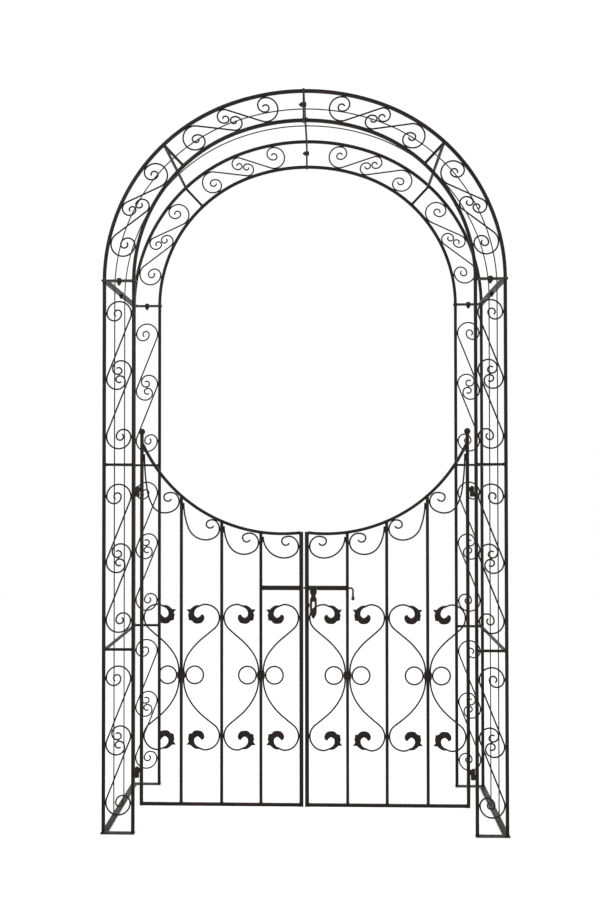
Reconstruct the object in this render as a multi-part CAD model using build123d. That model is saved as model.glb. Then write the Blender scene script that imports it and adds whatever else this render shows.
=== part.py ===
from build123d import *
import os
import math

# Garden trellis arch with a pair of gate leaves, in millimetres.
# X runs across the passage, Y runs from the gate side (-Y) to the back (+Y), +Z is up.
# Origin: centre of the footprint, on the ground.

# ------------------------------------------------------------ driving dimensions
DEPTH = 500.0          # front edge to back edge of the base strips
STRIP_W = 20.0         # width of the flat joining strips
STRIP_T = 3.0          # thickness of the flat joining strips
POST = 10.0            # outside size of the square tube
WALL = 1.0             # wall of the square tube
X_OUT = 610.0          # centre line of the outer posts
X_IN = 520.0           # centre line of the inner posts
SPRING = 1680.0        # height of the bolted joint between legs and arch
RUNG_Z = (556.0, 1118.0)
RUNG = 8.0             # square bar used for rungs, side rails and braces
OVER = 2.5             # how far a joining strip stands past the tube
ROD_R = 2.0            # side rods and roof rods
WIRE_R = 2.5           # scroll wire
ROD_Y = (-80.0, 80.0)  # rods stand at a third and two thirds of the depth

RISE = 578.0           # rise of the outer tube centre line above the joint
ARC_C = 38.9           # offset of the shoulder arc centre from the middle plane
ARC_TH = 70.0          # angle at which the shoulder arc hands over to the crown arc
BRACE_PHI = 46.0       # brace position, degrees from the vertical

BOLT_R = 4.0           # M8 screws in the bolted joints
BOLT_HOLE_R = 4.5
GROUND_HOLE_R = 3.5    # M6 fixing holes in the foot strips
BOLT_AF = 13.0
BOLT_HEAD = 5.3
NUT_H = 6.5
STUB = 5.0

# gate leaves (given for the +X leaf, the other is its mirror image)
GATE_Y = -(DEPTH / 2 - STRIP_W / 2)
MEET = 12.0            # meeting stile, square
MEET_X = 8.5
STILE = 10.0           # hinge stile, square
STILE_X = 494.0
BARS_X = (131.0, 250.0, 373.0)
BAR = 9.0
RAIL = 9.0
GATE_BOTTOM = 86.0
STILE_TOP = 1209.0
MEET_TOP = 914.0
TOP_CX, TOP_CZ, TOP_R = 66.0, 1376.0, 468.0   # centre and radius of the dipping top rail
BALL_R = 9.9
BALL_Z = 1218.0
HINGE_X = 507.5        # hinge axis
HINGE_LOW_Z = 169.0
HINGE_HIGH_Z = 1020.0
PIN_R = 4.0
EYE_R = 4.06
KNUCKLE_R = 6.5
KNUCKLE_H = 15.0
PIN_PROUD = 3.5
COLLAR_Z = 480.0
RING_R = 26.5
LATCH_Z = 744.0
BARREL_R = 7.0
BARREL_BORE = 5.5
BOLTROD_R = 2.8
BOLTROD_HOLE = 3.2
ROD_TIP_X = -1.9       # free end of the sliding bolt at rest
HANDLE_X = 148.0
HASP_X = 28.2
HASP_T = 3.4          # hasp plate, hung in front of the scroll wire
HASP_Y = -5.1           # middle of the plate from the gate's middle plane
LEAF_T = 8.0

YF = -(DEPTH / 2 - STRIP_W / 2)   # centre plane of the gate-side frame
YR = -YF                          # centre plane of the back frame

OUT = "parts"
os.makedirs(OUT, exist_ok=True)


# ------------------------------------------------------------ helpers
def box(x0, x1, y0, y1, z0, z1):
    s = Solid.make_box(x1 - x0, y1 - y0, z1 - z0)
    return s.moved(Location((x0, y0, z0)))


def cyl(p, d, r, h):
    return Solid.make_cylinder(r, h, Plane(origin=p, z_dir=d))


def one(shape):
    """Return the single solid in a boolean result."""
    s = shape.solids()
    assert len(s) == 1, len(s)
    return s[0]


def cut(a, *bs):
    r = a
    for b in bs:
        r = r - b
    return one(r)


def fuse(a, *bs):
    r = a
    for b in bs:
        r = r + b
    return one(r)


def square_tube_z(x, y, z0, z1, side, wall):
    o = box(x - side / 2, x + side / 2, y - side / 2, y + side / 2, z0, z1)
    i = box(x - side / 2 + wall, x + side / 2 - wall,
            y - side / 2 + wall, y + side / 2 - wall, z0 - 1, z1 + 1)
    return cut(o, i)


def mirror_x(shapes):
    return [s.mirror(Plane.YZ) for s in shapes]


def save(name, shapes):
    shapes = list(shapes)
    body = shapes[0] if len(shapes) == 1 else Compound(children=shapes)
    export_step(body, os.path.join(OUT, name + ".step"))


# ---- flat wires in a plane of constant Y, described by points with directions
def unit(t):
    n = math.hypot(*t)
    return (t[0] / n, t[1] / n)


def biarc(p0, t0, p1, t1):
    """Split the bend from p0 to p1 into one or two tangent arcs: list of (start, direction, end)."""
    t0, t1 = unit(t0), unit(t1)
    v = (p1[0] - p0[0], p1[1] - p0[1])
    vv = v[0] * v[0] + v[1] * v[1]
    # one arc is enough when the end direction is the start direction mirrored on the chord
    c = unit(v)
    k = 2 * (t0[0] * c[0] + t0[1] * c[1])
    e = (k * c[0] - t0[0], k * c[1] - t0[1])
    if e[0] * t1[0] + e[1] * t1[1] > 1 - 1e-9:
        return [(p0, t0, p1)]
    t = (t0[0] + t1[0], t0[1] + t1[1])
    vt = v[0] * t[0] + v[1] * t[1]
    m = 2 * (1 - (t0[0] * t1[0] + t0[1] * t1[1]))
    if m < 1e-9:
        d = vv / (2 * vt)
    else:
        d = (-vt + math.sqrt(vt * vt + m * vv)) / m
    j = ((p0[0] + p1[0] + d * (t0[0] - t1[0])) / 2, (p0[1] + p1[1] + d * (t0[1] - t1[1])) / 2)
    a = (p0[0] + d * t0[0], p0[1] + d * t0[1])
    b = (p1[0] - d * t1[0], p1[1] - d * t1[1])
    tj = unit((b[0] - a[0], b[1] - a[1]))
    return [(p0, t0, j), (j, tj, p1)]


def edge(p, t, q, y):
    c = (q[0] - p[0], q[1] - p[1])
    length = math.hypot(*c)
    cross = t[0] * c[1] - t[1] * c[0]
    a, b = (p[0], y, p[1]), (q[0], y, q[1])
    if abs(cross) / length < 1e-5:
        return Edge.make_line(a, b)
    n = (-t[1], t[0])
    r = length * length / (2 * cross)
    m = (p[0] + n[0] * r, p[1] + n[1] * r)       # arc centre
    a0 = math.atan2(p[1] - m[1], p[0] - m[0])
    a1 = math.atan2(q[1] - m[1], q[0] - m[0])
    s = a1 - a0
    if r > 0:
        s %= 2 * math.pi
    else:
        s = -((-s) % (2 * math.pi))
    am = a0 + s / 2
    h = (m[0] + abs(r) * math.cos(am), y, m[1] + abs(r) * math.sin(am))
    return Edge.make_three_point_arc(a, h, b)


def bent_wire(nodes, y, r=WIRE_R):
    """Round wire through (point, direction) nodes in the plane at y."""
    spans = []
    for (p0, t0), (p1, t1) in zip(nodes, nodes[1:]):
        spans += biarc(p0, t0, p1, t1)
    edges = [edge(p, unit(t), q, y) for p, t, q in spans]
    path = Wire(edges)
    p, t = nodes[0]
    t = unit(t)
    prof = Plane(origin=(p[0], y, p[1]), z_dir=(t[0], 0, t[1])) * Circle(r)
    return one(sweep(prof, path=path))


# ------------------------------------------------------------ arch curve, +X half
ARC_E = ARC_C * math.tan(math.radians(ARC_TH))
R1 = X_OUT - ARC_C
R2 = R1 + math.hypot(ARC_C, ARC_E)
APEX = SPRING - ARC_E + R2            # height of the outer tube centre line at the crown
GAP = X_OUT - X_IN                    # outer to inner tube centre line


def arch_edges(dr, z0, x0, y, reverse=False):
    """Two arcs of the outer centre line moved out by dr, from height z0 to distance x0."""
    r1, r2 = R1 + dr, R2 + dr
    th = math.radians(ARC_TH)
    a = math.asin((z0 - SPRING) / r1)
    p0 = (ARC_C + r1 * math.cos(a), y, z0)
    am = (a + th) / 2
    p1 = (ARC_C + r1 * math.cos(am), y, SPRING + r1 * math.sin(am))
    p2 = (ARC_C + r1 * math.cos(th), y, SPRING + r1 * math.sin(th))
    b = math.acos(x0 / r2)
    bm = (b + th) / 2
    p3 = (r2 * math.cos(bm), y, SPRING - ARC_E + r2 * math.sin(bm))
    p4 = (x0, y, SPRING - ARC_E + r2 * math.sin(b))
    if reverse:
        return [Edge.make_three_point_arc(p4, p3, p2), Edge.make_three_point_arc(p2, p1, p0)], p4, p0
    return [Edge.make_three_point_arc(p0, p1, p2), Edge.make_three_point_arc(p2, p3, p4)], p0, p4


def arch_band(dr0, dr1, z0, x0, y0, y1):
    e1, a, b = arch_edges(dr1, z0, x0, y0)
    e2, c, d = arch_edges(dr0, z0, x0, y0, reverse=True)
    w = Wire([*e1, Edge.make_line(b, c), *e2, Edge.make_line(d, a)])
    return Solid.extrude(Face(w), Vector(0, y1 - y0, 0))


def arch_tube(dr, y):
    h = POST / 2
    z0, x0 = SPRING + STRIP_T, STRIP_T
    o = arch_band(dr - h, dr + h, z0, x0, y - h, y + h)
    i = arch_band(dr - h + WALL, dr + h - WALL, z0 - 1, x0 - 1, y - h + WALL, y + h - WALL)
    return cut(o, i)


def mid_frame(phi):
    """Point, inward normal and direction towards the crown on the curve midway between the tubes."""
    phi = math.radians(phi)
    r1, r2 = R1 - GAP / 2, R2 - GAP / 2
    s, c = math.sin(phi), math.cos(phi)
    # ray from (0, SPRING): try the crown arc first
    # |t*(s,c) + (0,ARC_E)| = r2
    t = -c * ARC_E + math.sqrt((c * ARC_E) ** 2 - (ARC_E ** 2 - r2 * r2))
    x, z = t * s, t * c
    if math.atan2(z + ARC_E, x) < math.radians(ARC_TH):
        t = s * ARC_C + math.sqrt((s * ARC_C) ** 2 - (ARC_C ** 2 - r1 * r1))
        x, z = t * s, t * c
        n = unit((x - ARC_C, z))
    else:
        n = unit((x, z + ARC_E))
    return (x, SPRING + z), (-n[0], -n[1]), (-n[1], n[0])


# ------------------------------------------------------------ S scroll
BIG_R, BIG_U = 37.0, 0.4
# small end: height, radius and offset of its outer bend, then the turns of the curl inside it
LEG_SMALL = (-12.8, 31.0, -6.4, [((19.3, -7.0), (0, 1)), ((4.0, 10.3), (-1, 0)), ((-8.9, 0.0), (0, -1)),
                                 ((0.5, -10.0), (1, 0)), ((7.5, -7.0), (0.7, 0.7))])
ARCH_SMALL = (-11.8, 21.0, -16.4, [((4.6, 0.0), (0, 1)), ((-5.7, 10.3), (-1, 0)), ((-16.0, 0.0), (0, -1)),
                                   ((-9.7, -6.3), (1, 0))])


def place(frame, u, v):
    (px, pz), un, vn = frame
    return (px + u * un[0] + v * vn[0], pz + u * un[1] + v * vn[1])


def turn(frame, u, v):
    _, un, vn = frame
    return (u * un[0] + v * vn[0], u * un[1] + v * vn[1])


def s_scroll(big, small, big_v, end, y):
    """One S: big spiral in frame big, small spiral in frame small, joined by their common tangent.
    u points to the inner tube, v along the panel towards the big spiral."""
    n = []
    small_v, small_r, small_u, curl = end

    def b(u, v, tu, tv):
        n.append((place(big, u, big_v + v), turn(big, tu, tv)))

    def s(u, v, tu, tv):
        n.append((place(small, u, small_v + v), turn(small, tu, tv)))

    a = math.radians(250)
    b(-6.4 + 8 * math.cos(a), 8 * math.sin(a), math.sin(a), -math.cos(a))
    b(-14.4, 0, 0, 1)
    b(-3.5, 10.9, 1, 0)
    b(7.4, 0, 0, -1)
    b(-14.6, -22, -1, 0)
    b(-36.6, 0, 0, 1)
    b(BIG_U, BIG_R, 1, 0)
    # common tangent from the big circle to the small one
    c1 = place(big, BIG_U, big_v)
    c2 = place(small, small_u, small_v)
    d = (c2[0] - c1[0], c2[1] - c1[1])
    # handedness of the (u, v) frame decides on which side the circle centres lie
    _, un, vn = big
    hand = 1 if un[0] * vn[1] - un[1] * vn[0] > 0 else -1
    dist = math.hypot(*d)
    phi = math.atan2(d[1], d[0])
    off = math.asin((BIG_R + small_r) / dist)
    th = phi - hand * off
    t = (math.cos(th), math.sin(th))
    nr = (hand * t[1], -hand * t[0])
    p1 = (c1[0] - BIG_R * nr[0], c1[1] - BIG_R * nr[1])
    p2 = (c2[0] + small_r * nr[0], c2[1] + small_r * nr[1])
    n.append((p1, t))
    n.append((p2, t))
    s(small_u, -small_r, 1, 0)
    for (u, v), (tu, tv) in curl:
        s(u, v, tu, tv)
    return bent_wire(n, y)


def flip(frame):
    p, u, v = frame
    return (p, (-u[0], -u[1]), (-v[0], -v[1]))


def leg_pair(zc, y):
    f = (((X_OUT + X_IN) / 2, zc), (-1.0, 0.0), (0.0, 1.0))
    out = []
    for g in (f, flip(f)):
        out.append(s_scroll(g, g, 188.0, LEG_SMALL, y))
    return out


def arch_pair(phi_top, phi_mid, phi_low, y):
    top, mid, low = mid_frame(phi_top), mid_frame(phi_mid), mid_frame(phi_low)
    return [
        s_scroll(top, mid, 0.0, ARCH_SMALL, y),
        s_scroll(flip(low), flip(mid), 0.0, ARCH_SMALL, y),
    ]


# ------------------------------------------------------------ legs
X_EDGE = X_OUT + POST / 2 + OVER
ZB = STRIP_T
ZT = SPRING - STRIP_T


def strip_plate(x0, x1, y0, y1, z0, z1, hole):
    p = box(x0, x1, y0, y1, z0, z1)
    r = GROUND_HOLE_R if z0 < 1 else BOLT_HOLE_R
    return cut(p, cyl((hole[0], hole[1], z0 - 1), (0, 0, 1), r, z1 - z0 + 2))


XH = (X_OUT + X_IN) / 2
SIDE_X0, SIDE_X1 = X_EDGE - STRIP_W, X_EDGE
SIDE_XH = (SIDE_X0 + SIDE_X1) / 2
YE = DEPTH / 2
YI = YE - STRIP_W


def strips(z0, z1, xi):
    return [
        strip_plate(xi, X_EDGE, -YE, -YI, z0, z1, (XH, YF)),
        strip_plate(xi, X_EDGE, YI, YE, z0, z1, (XH, YR)),
        strip_plate(SIDE_X0, SIDE_X1, -YI, YI, z0, z1, (SIDE_XH, 0)),
    ]


H = POST / 2
posts = {
    "front_outer_post": (X_OUT, YF), "front_inner_post": (X_IN, YF),
    "rear_outer_post": (X_OUT, YR), "rear_inner_post": (X_IN, YR),
}
for name, (x, y) in posts.items():
    s = [square_tube_z(x, y, ZB, ZT, POST, WALL)]
    save("right_" + name, s)
    save("left_" + name, mirror_x(s))

q = RUNG / 2
rungs = []
for z in RUNG_Z:
    for y in (YF, YR):
        rungs.append(box(X_IN + H, X_OUT - H, y - q, y + q, z - q, z + q))
    rungs.append(box(X_OUT - RUNG, X_OUT, YF + H, YR - H, z - q, z + q))
save("right_leg_rungs", rungs)
save("left_leg_rungs", mirror_x(rungs))

base = strips(0, STRIP_T, X_IN - H)
save("right_base_strips", base)
save("left_base_strips", mirror_x(base))
top = strips(ZT, SPRING, X_IN - H - OVER)
save("right_leg_top_strips", top)
save("left_leg_top_strips", mirror_x(top))

ROD_X = X_OUT + ROD_R
side_rods = [cyl((ROD_X, y, ZB), (0, 0, 1), ROD_R, ZT - ZB) for y in ROD_Y]
save("right_side_rods", side_rods)
save("left_side_rods", mirror_x(side_rods))

z_low, z_mid, z_top = 280.5, 833.0, 1391.5       # centres of the scroll pairs
leg_scrolls = []
for y in (YF, YR):
    for zc in (z_low, z_mid, z_top):
        leg_scrolls += leg_pair(zc, y)
save("right_leg_scrolls", leg_scrolls)
save("left_leg_scrolls", mirror_x(leg_scrolls))

# ------------------------------------------------------------ arch
for y, name in ((YF, "front"), (YR, "rear")):
    tubes = [arch_tube(0, y), arch_tube(-GAP, y)]
    save("right_%s_arch_tubes" % name, tubes)
    save("left_%s_arch_tubes" % name, mirror_x(tubes))
    sc = arch_pair(12.5, 24.7, 37.2, y) + arch_pair(54.6, 66.3, 78.5, y)
    save("right_%s_arch_scrolls" % name, sc)
    save("left_%s_arch_scrolls" % name, mirror_x(sc))

ZA1 = APEX + H + 0.5
ZA0 = APEX - GAP - H - 0.5
ZBOLT = APEX - GAP / 2 + 3.5


def apex_strips():
    out = []
    for y0, y1, z0, z1, hole in ((-YE, -YI, ZA0, ZA1, (YF, ZBOLT)),
                                 (YI, YE, ZA0, ZA1, (YR, ZBOLT)),
                                 (-YI, YI, ZA1 - STRIP_W, ZA1, (0, ZA1 - STRIP_W / 2))):
        p = box(0, STRIP_T, y0, y1, z0, z1)
        out.append(cut(p, cyl((-1, hole[0], hole[1]), (1, 0, 0), BOLT_HOLE_R, STRIP_T + 2)))
    return out


ends = strips(SPRING, SPRING + STRIP_T, X_IN - H - OVER) + apex_strips()
save("right_arch_end_strips", ends)
save("left_arch_end_strips", mirror_x(ends))

# braces: a radial bar in each ladder and a strut from front to back
(bx, bz), bn, bt = mid_frame(BRACE_PHI)
ang = math.degrees(math.atan2(-bn[1], -bn[0]))       # direction away from the arc centre
plane = Plane(origin=(bx, 0, bz), x_dir=(-bn[0], 0, -bn[1]), z_dir=(0, 1, 0))
braces = []
half = GAP / 2 - H - 0.02
for y in (YF, YR):
    b = Solid.make_box(2 * half, RUNG, RUNG).moved(Location((-half, -q, y - q)))
    braces.append(b.moved(plane.location))
r_top = GAP / 2                                       # outer tube centre line
b = Solid.make_box(RUNG, RUNG, YR - YF - POST).moved(Location((r_top - RUNG, -q, YF + H)))
braces.append(b.moved(plane.location))
save("right_arch_braces", braces)
save("left_arch_braces", mirror_x(braces))

roof = []
for y in ROD_Y:
    e, a, b = arch_edges(ROD_R, SPRING + STRIP_T + 0.05, STRIP_T + 0.05, y)
    t0 = (-(a[2] - SPRING), R1 * 1.0)
    path = Wire(e)
    prof = Plane(origin=a, z_dir=(-(a[2] - SPRING), 0, a[0] - ARC_C)) * Circle(ROD_R)
    roof.append(one(sweep(prof, path=path)))
save("right_roof_rods", roof)
save("left_roof_rods", mirror_x(roof))


# ------------------------------------------------------------ fasteners
def hexagon(p, d, af, h):
    pl = Plane(origin=p, z_dir=d)
    face = (pl * RegularPolygon(af / 2, 6, major_radius=False)).face()
    return Solid.extrude(face, Vector(d) * h)


def screw(p, d, grip):
    """Hex screw: p is the face under the head, d points from the head along the shank."""
    v = Vector(d)
    head = hexagon(tuple(Vector(p) - v * BOLT_HEAD), d, BOLT_AF, BOLT_HEAD)
    shank = cyl(p, d, BOLT_R, grip + NUT_H + STUB)
    return fuse(head, shank)


def nut(p, d):
    return cut(hexagon(p, d, BOLT_AF, NUT_H), cyl(tuple(Vector(p) - Vector(d)), d, BOLT_R + 0.05, NUT_H + 2))


screws, nuts = [], []
for sx in (1, -1):
    for x, y in ((XH, YF), (XH, YR), (SIDE_XH, 0)):
        screws.append(screw((sx * x, y, SPRING + STRIP_T), (0, 0, -1), 2 * STRIP_T))
        nuts.append(nut((sx * x, y, SPRING - STRIP_T), (0, 0, -1)))
for y, z in ((YF, ZBOLT), (YR, ZBOLT), (0, ZA1 - STRIP_W / 2)):
    screws.append(screw((STRIP_T, y, z), (-1, 0, 0), 2 * STRIP_T))
    nuts.append(nut((-STRIP_T, y, z), (-1, 0, 0)))
save("frame_screws", screws)
save("frame_nuts", nuts)


# ------------------------------------------------------------ gate hinges
def pintle(z0):
    """Pin and lower knuckle, carried by the front inner post."""
    body = cyl((HINGE_X, GATE_Y, z0), (0, 0, 1), KNUCKLE_R, KNUCKLE_H - 0.2)
    tab = box(HINGE_X, X_IN - H, GATE_Y - 4, GATE_Y + 4, z0, z0 + KNUCKLE_H - 0.2)
    pin = cyl((HINGE_X, GATE_Y, z0), (0, 0, 1), PIN_R, 2 * KNUCKLE_H + PIN_PROUD)
    return fuse(body, tab, pin)


def eye(z0):
    """Eye that drops over the pin, carried by the hinge stile."""
    body = cyl((HINGE_X, GATE_Y, z0), (0, 0, 1), KNUCKLE_R, KNUCKLE_H)
    tab = box(STILE_X + STILE / 2, HINGE_X, GATE_Y - 4, GATE_Y + 4, z0, z0 + KNUCKLE_H)
    bore = cyl((HINGE_X, GATE_Y, z0 - 1), (0, 0, 1), EYE_R, KNUCKLE_H + 2)
    return cut(fuse(body, tab), bore)


pintles = [pintle(z) for z in (HINGE_LOW_Z, HINGE_HIGH_Z)]
save("hinge_pintles", pintles + mirror_x(pintles))


# ------------------------------------------------------------ gate leaf, +X side
def leaf_parts():
    g = {}
    yb = lambda w: (GATE_Y - w / 2, GATE_Y + w / 2)
    y0, y1 = yb(STILE)
    g["hinge_stile"] = [square_tube_z(STILE_X, GATE_Y, GATE_BOTTOM, STILE_TOP, STILE, WALL)]
    g["meeting_stile"] = [square_tube_z(MEET_X, GATE_Y, GATE_BOTTOM, MEET_TOP, MEET, WALL)]
    x_meet, x_hinge = MEET_X + MEET / 2, STILE_X - STILE / 2
    y0, y1 = yb(RAIL)
    bottom = box(x_meet, x_hinge, y0, y1, GATE_BOTTOM, GATE_BOTTOM + RAIL)

    def rail_band(r0, r1, xa, xb, ya, yb_):
        def pt(r, x):
            return (x, ya, TOP_CZ - math.sqrt(r * r - (x - TOP_CX) ** 2))
        lo = [pt(r1, xa), pt(r1, TOP_CX + 0.55 * (xb - TOP_CX)), pt(r1, xb)]
        hi = [pt(r0, xb), pt(r0, TOP_CX + 0.55 * (xb - TOP_CX)), pt(r0, xa)]
        w = Wire([Edge.make_three_point_arc(*lo), Edge.make_line(lo[2], hi[0]),
                  Edge.make_three_point_arc(*hi), Edge.make_line(hi[2], lo[0])])
        return Solid.extrude(Face(w), Vector(0, yb_ - ya, 0))
    top_rail = rail_band(TOP_R - RAIL / 2, TOP_R + RAIL / 2, x_meet, x_hinge, y0, y1)
    g["rails"] = [bottom, top_rail]

    y0, y1 = yb(BAR)
    disc = cyl((TOP_CX, GATE_Y - 20, TOP_CZ), (0, 1, 0), TOP_R + RAIL / 2, 40)
    g["bars"] = [cut(box(x - BAR / 2, x + BAR / 2, y0, y1, GATE_BOTTOM + RAIL, 1100), disc) for x in BARS_X]

    # finial ball on the hinge stile
    ball = Solid.make_sphere(BALL_R, angle1=-90, angle2=90, angle3=360).moved(Location((STILE_X, GATE_Y, BALL_Z)))
    g["finial"] = [cut(ball, box(STILE_X - 20, STILE_X + 20, GATE_Y - 20, GATE_Y + 20, BALL_Z - 30, STILE_TOP))]
    g["hinge_eyes"] = [eye(z + KNUCKLE_H) for z in (HINGE_LOW_Z, HINGE_HIGH_Z)]

    # drop scrolls below the top rail
    w = []
    w.append(bent_wire([
        ((486.3, 1150), (-0.01, -1)), ((477.5, 1040), (-0.16, -0.99)), ((424.4, 971), (-1, 0)),
        ((380.2, 1006), (0, 1)), ((405, 1033), (1, 0)), ((426.5, 1019), (0, -1)),
        ((415, 1006.5), (-1, 0)), ((404, 1014), (-0.3, 0.95))], GATE_Y))
    w.append(bent_wire([
        ((365.9, 1002), (0, -1)), ((298.4, 889), (-1, 0)), ((257.2, 922), (0, 1)),
        ((280.2, 950), (1, 0)), ((297.0, 936), (0, -1)), ((285.5, 925), (-1, 0)), ((275, 932), (-0.3, 0.95))], GATE_Y))
    w.append(bent_wire([
        ((242.9, 931), (0, -1)), ((182.4, 845.5), (-1, 0)), ((138.2, 881), (0, 1)),
        ((165, 909.5), (1, 0)), ((186.5, 896), (0, -1)), ((174.5, 883), (-1, 0)), ((164, 890), (-0.3, 0.95))], GATE_Y))
    w.append(bent_wire([
        ((123.9, 899), (0, -1)), ((59.5, 834.5), (-1, 0)), ((17.2, 869), (0, 1)),
        ((46, 900), (1, 0)), ((67.5, 886), (0, -1)), ((55.5, 873), (-1, 0)), ((45, 880), (-0.3, 0.95))], GATE_Y))

    # bowed wires back to back on the first and third bar, rings beside the collar
    leaves, collars = [], []
    g1 = (BARS_X[0], BARS_X[0] - x_meet, BARS_X[1] - BAR / 2 - BARS_X[0])
    g2 = (BARS_X[2], BARS_X[2] - BARS_X[1] - BAR / 2, x_hinge - BARS_X[2])
    uw = BAR / 2 + 0.2 + WIRE_R
    for xb, left, right in (g1, g2):
        for sgn, room in ((-1, left), (1, right)):
            uc = room - WIRE_R - 0.1
            n = [((55.9, 208.6), (0.93, 0.36)), ((72, 213.5), (1, 0)), ((uc, 174), (0, -1)),
                 ((66.5, 112.5), (-0.78, -0.63)), ((uw, 12), (0, -1)), ((uw, -12), (0, -1)),
                 ((66, -124), (0.77, -0.64)), ((uc, -183), (0, -1)),
                 ((72, -226), (-1, 0)), ((55.9, -221.1), (-0.93, 0.36))]
            w.append(bent_wire([((xb + sgn * u, COLLAR_Z + v), (sgn * tu, tv)) for (u, v), (tu, tv) in n], GATE_Y))
            ring = Solid.make_torus(RING_R, WIRE_R, Plane(
                origin=(xb + sgn * (11.9 + RING_R + WIRE_R), GATE_Y, COLLAR_Z), z_dir=(0, 1, 0)))
            w.append(ring)
            for up, (ou, ov) in ((1, (51.0, 177.5)), (-1, (51.0, -190.0))):
                leaves.append(leaf_casting(xb + sgn * ou, COLLAR_Z + ov, sgn, up))
        c = box(xb - 11.8, xb + 11.8, GATE_Y - 8, GATE_Y + 8, COLLAR_Z - 10, COLLAR_Z + 10)
        collars.append(cut(c, box(xb - 9.8, xb + 9.8, GATE_Y - 4.7, GATE_Y + 4.7, COLLAR_Z - 11, COLLAR_Z + 11)))
    g["scrollwork"] = w
    g["collars"] = collars
    g["cast_leaves"] = leaves
    return g


LEAF_PTS = [(4.5, 34.0), (-2, 34.0), (-8.5, 32.7), (-15, 28.5), (-20, 24.2), (-25, 20.8), (-36, 18.7),
            (-33.0, 12.5), (-29.4, 5.2), (-31.3, -3.8), (-25.8, -14.3), (-20.8, -12.8), (-14.5, -18.8),
            (-7, -22), (0.5, -23.3), (7.5, -21.8), (12.5, -18.8), (17, -12), (18.6, -4.5), (17.2, 2.0),
            (12, 5.8), (6.5, 6.7), (4.6, 3.0), (3.5, -0.8), (-1.5, -4.3), (-6, -3.0), (-9.5, 1.5),
            (-11.5, 8.2), (-10.8, 14), (-8.0, 19.5), (-3.0, 24.5), (4.5, 28.0)]


def leaf_casting(x, z, sgn, up):
    """Cast acanthus terminal: a curled comma with a spur, lying in the plane of the gate."""
    pts = [(x + sgn * u, GATE_Y - LEAF_T / 2, z + up * v) for u, v in LEAF_PTS]
    w = Wire.make_polygon(pts, close=True)
    s = Solid.extrude(Face(w), Vector(0, LEAF_T, 0))
    return s


g = leaf_parts()
x_meet = MEET_X + MEET / 2
bar3 = BARS_X[0] - BAR / 2
along = (1, 0, 0)

# the sliding bolt passes through both meeting stiles and the first bar of the +X leaf
bolt_hole = cyl((-30, GATE_Y, LATCH_Z), along, BOLTROD_HOLE, 200)
for side in ("right", "left"):
    sg = 1 if side == "right" else -1
    for key, shapes in g.items():
        out = shapes if sg == 1 else mirror_x(shapes)
        if key == "meeting_stile":
            out = [cut(s, bolt_hole) for s in out]
        if key == "bars" and side == "right":
            out = [cut(out[0], bolt_hole), out[1], out[2]]
        save("%s_gate_%s" % (side, key), out)


def barrel(x0, x1, y=GATE_Y):
    return cut(cyl((x0, y, LATCH_Z), along, BARREL_R, x1 - x0), cyl((x0 - 1, y, LATCH_Z), along, BARREL_BORE, x1 - x0 + 2))


HASP_HALF = 10.4
save("latch_keeper_tube", [barrel(-bar3, -x_meet)])
save("latch_barrel", [barrel(x_meet, HASP_X - HASP_HALF - 0.4), barrel(HASP_X + HASP_HALF + 0.4, bar3)])

# sliding bolt: round bar with its end turned down and a teardrop grip
rod = bent_wire([((ROD_TIP_X, LATCH_Z), (1, 0)), ((HANDLE_X - 8, LATCH_Z), (1, 0)),
                 ((HANDLE_X, LATCH_Z - 8), (0, -1)), ((HANDLE_X, LATCH_Z - 30), (0, -1))], GATE_Y, BOLTROD_R)
drop = Solid.make_sphere(5.2, angle1=-90, angle2=90, angle3=360).moved(Location((HANDLE_X, GATE_Y, LATCH_Z - 32.5)))
cone = Solid.make_cone(BOLTROD_R, 5.0, 10, Plane(origin=(HANDLE_X, GATE_Y, LATCH_Z - 21), z_dir=(0, 0, -1)))
save("latch_bolt", [fuse(rod, cone, drop)])

# hasp: an eye round the sliding bolt with a slotted plate hanging from it
prof = [(-10.4, 0), (-10.4, -14), (-8.6, -19), (-6.6, -24), (-8.4, -28), (-10.4, -33), (-10.4, -70),
        (-9.4, -77), (-6.0, -84), (0, -93.5)]
pts = prof + [(-x, z) for x, z in reversed(prof[:-1])]
w = Wire.make_polygon([(HASP_X + x, GATE_Y + HASP_Y - HASP_T / 2, LATCH_Z + z) for x, z in pts], close=True)
plate = Solid.extrude(Face(w), Vector(0, HASP_T, 0))
slot = fuse(box(HASP_X - 3.6, HASP_X + 3.6, GATE_Y - 12, GATE_Y + 5, LATCH_Z - 60, LATCH_Z - 44),
            cyl((HASP_X, GATE_Y - 12, LATCH_Z - 44), (0, 1, 0), 3.6, 17),
            cyl((HASP_X, GATE_Y - 12, LATCH_Z - 60), (0, 1, 0), 3.6, 17))
eye_out = cyl((HASP_X - HASP_HALF, GATE_Y, LATCH_Z), along, BARREL_R, 2 * HASP_HALF)
eye_in = cyl((HASP_X - HASP_HALF - 1, GATE_Y, LATCH_Z), along, BOLTROD_HOLE, 2 * HASP_HALF + 2)
save("latch_hasp", [cut(fuse(plate, eye_out), eye_in, slot)])

# padlock staple: a ring seen edge-on from the front, on the side of the meeting stile
sx, sy, sz = x_meet, GATE_Y - 3, LATCH_Z - 52
save("padlock_staple", [cut(cyl((sx, sy, sz), along, 6.5, 2.6), cyl((sx - 1, sy, sz), along, 3.6, 5))])
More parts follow.
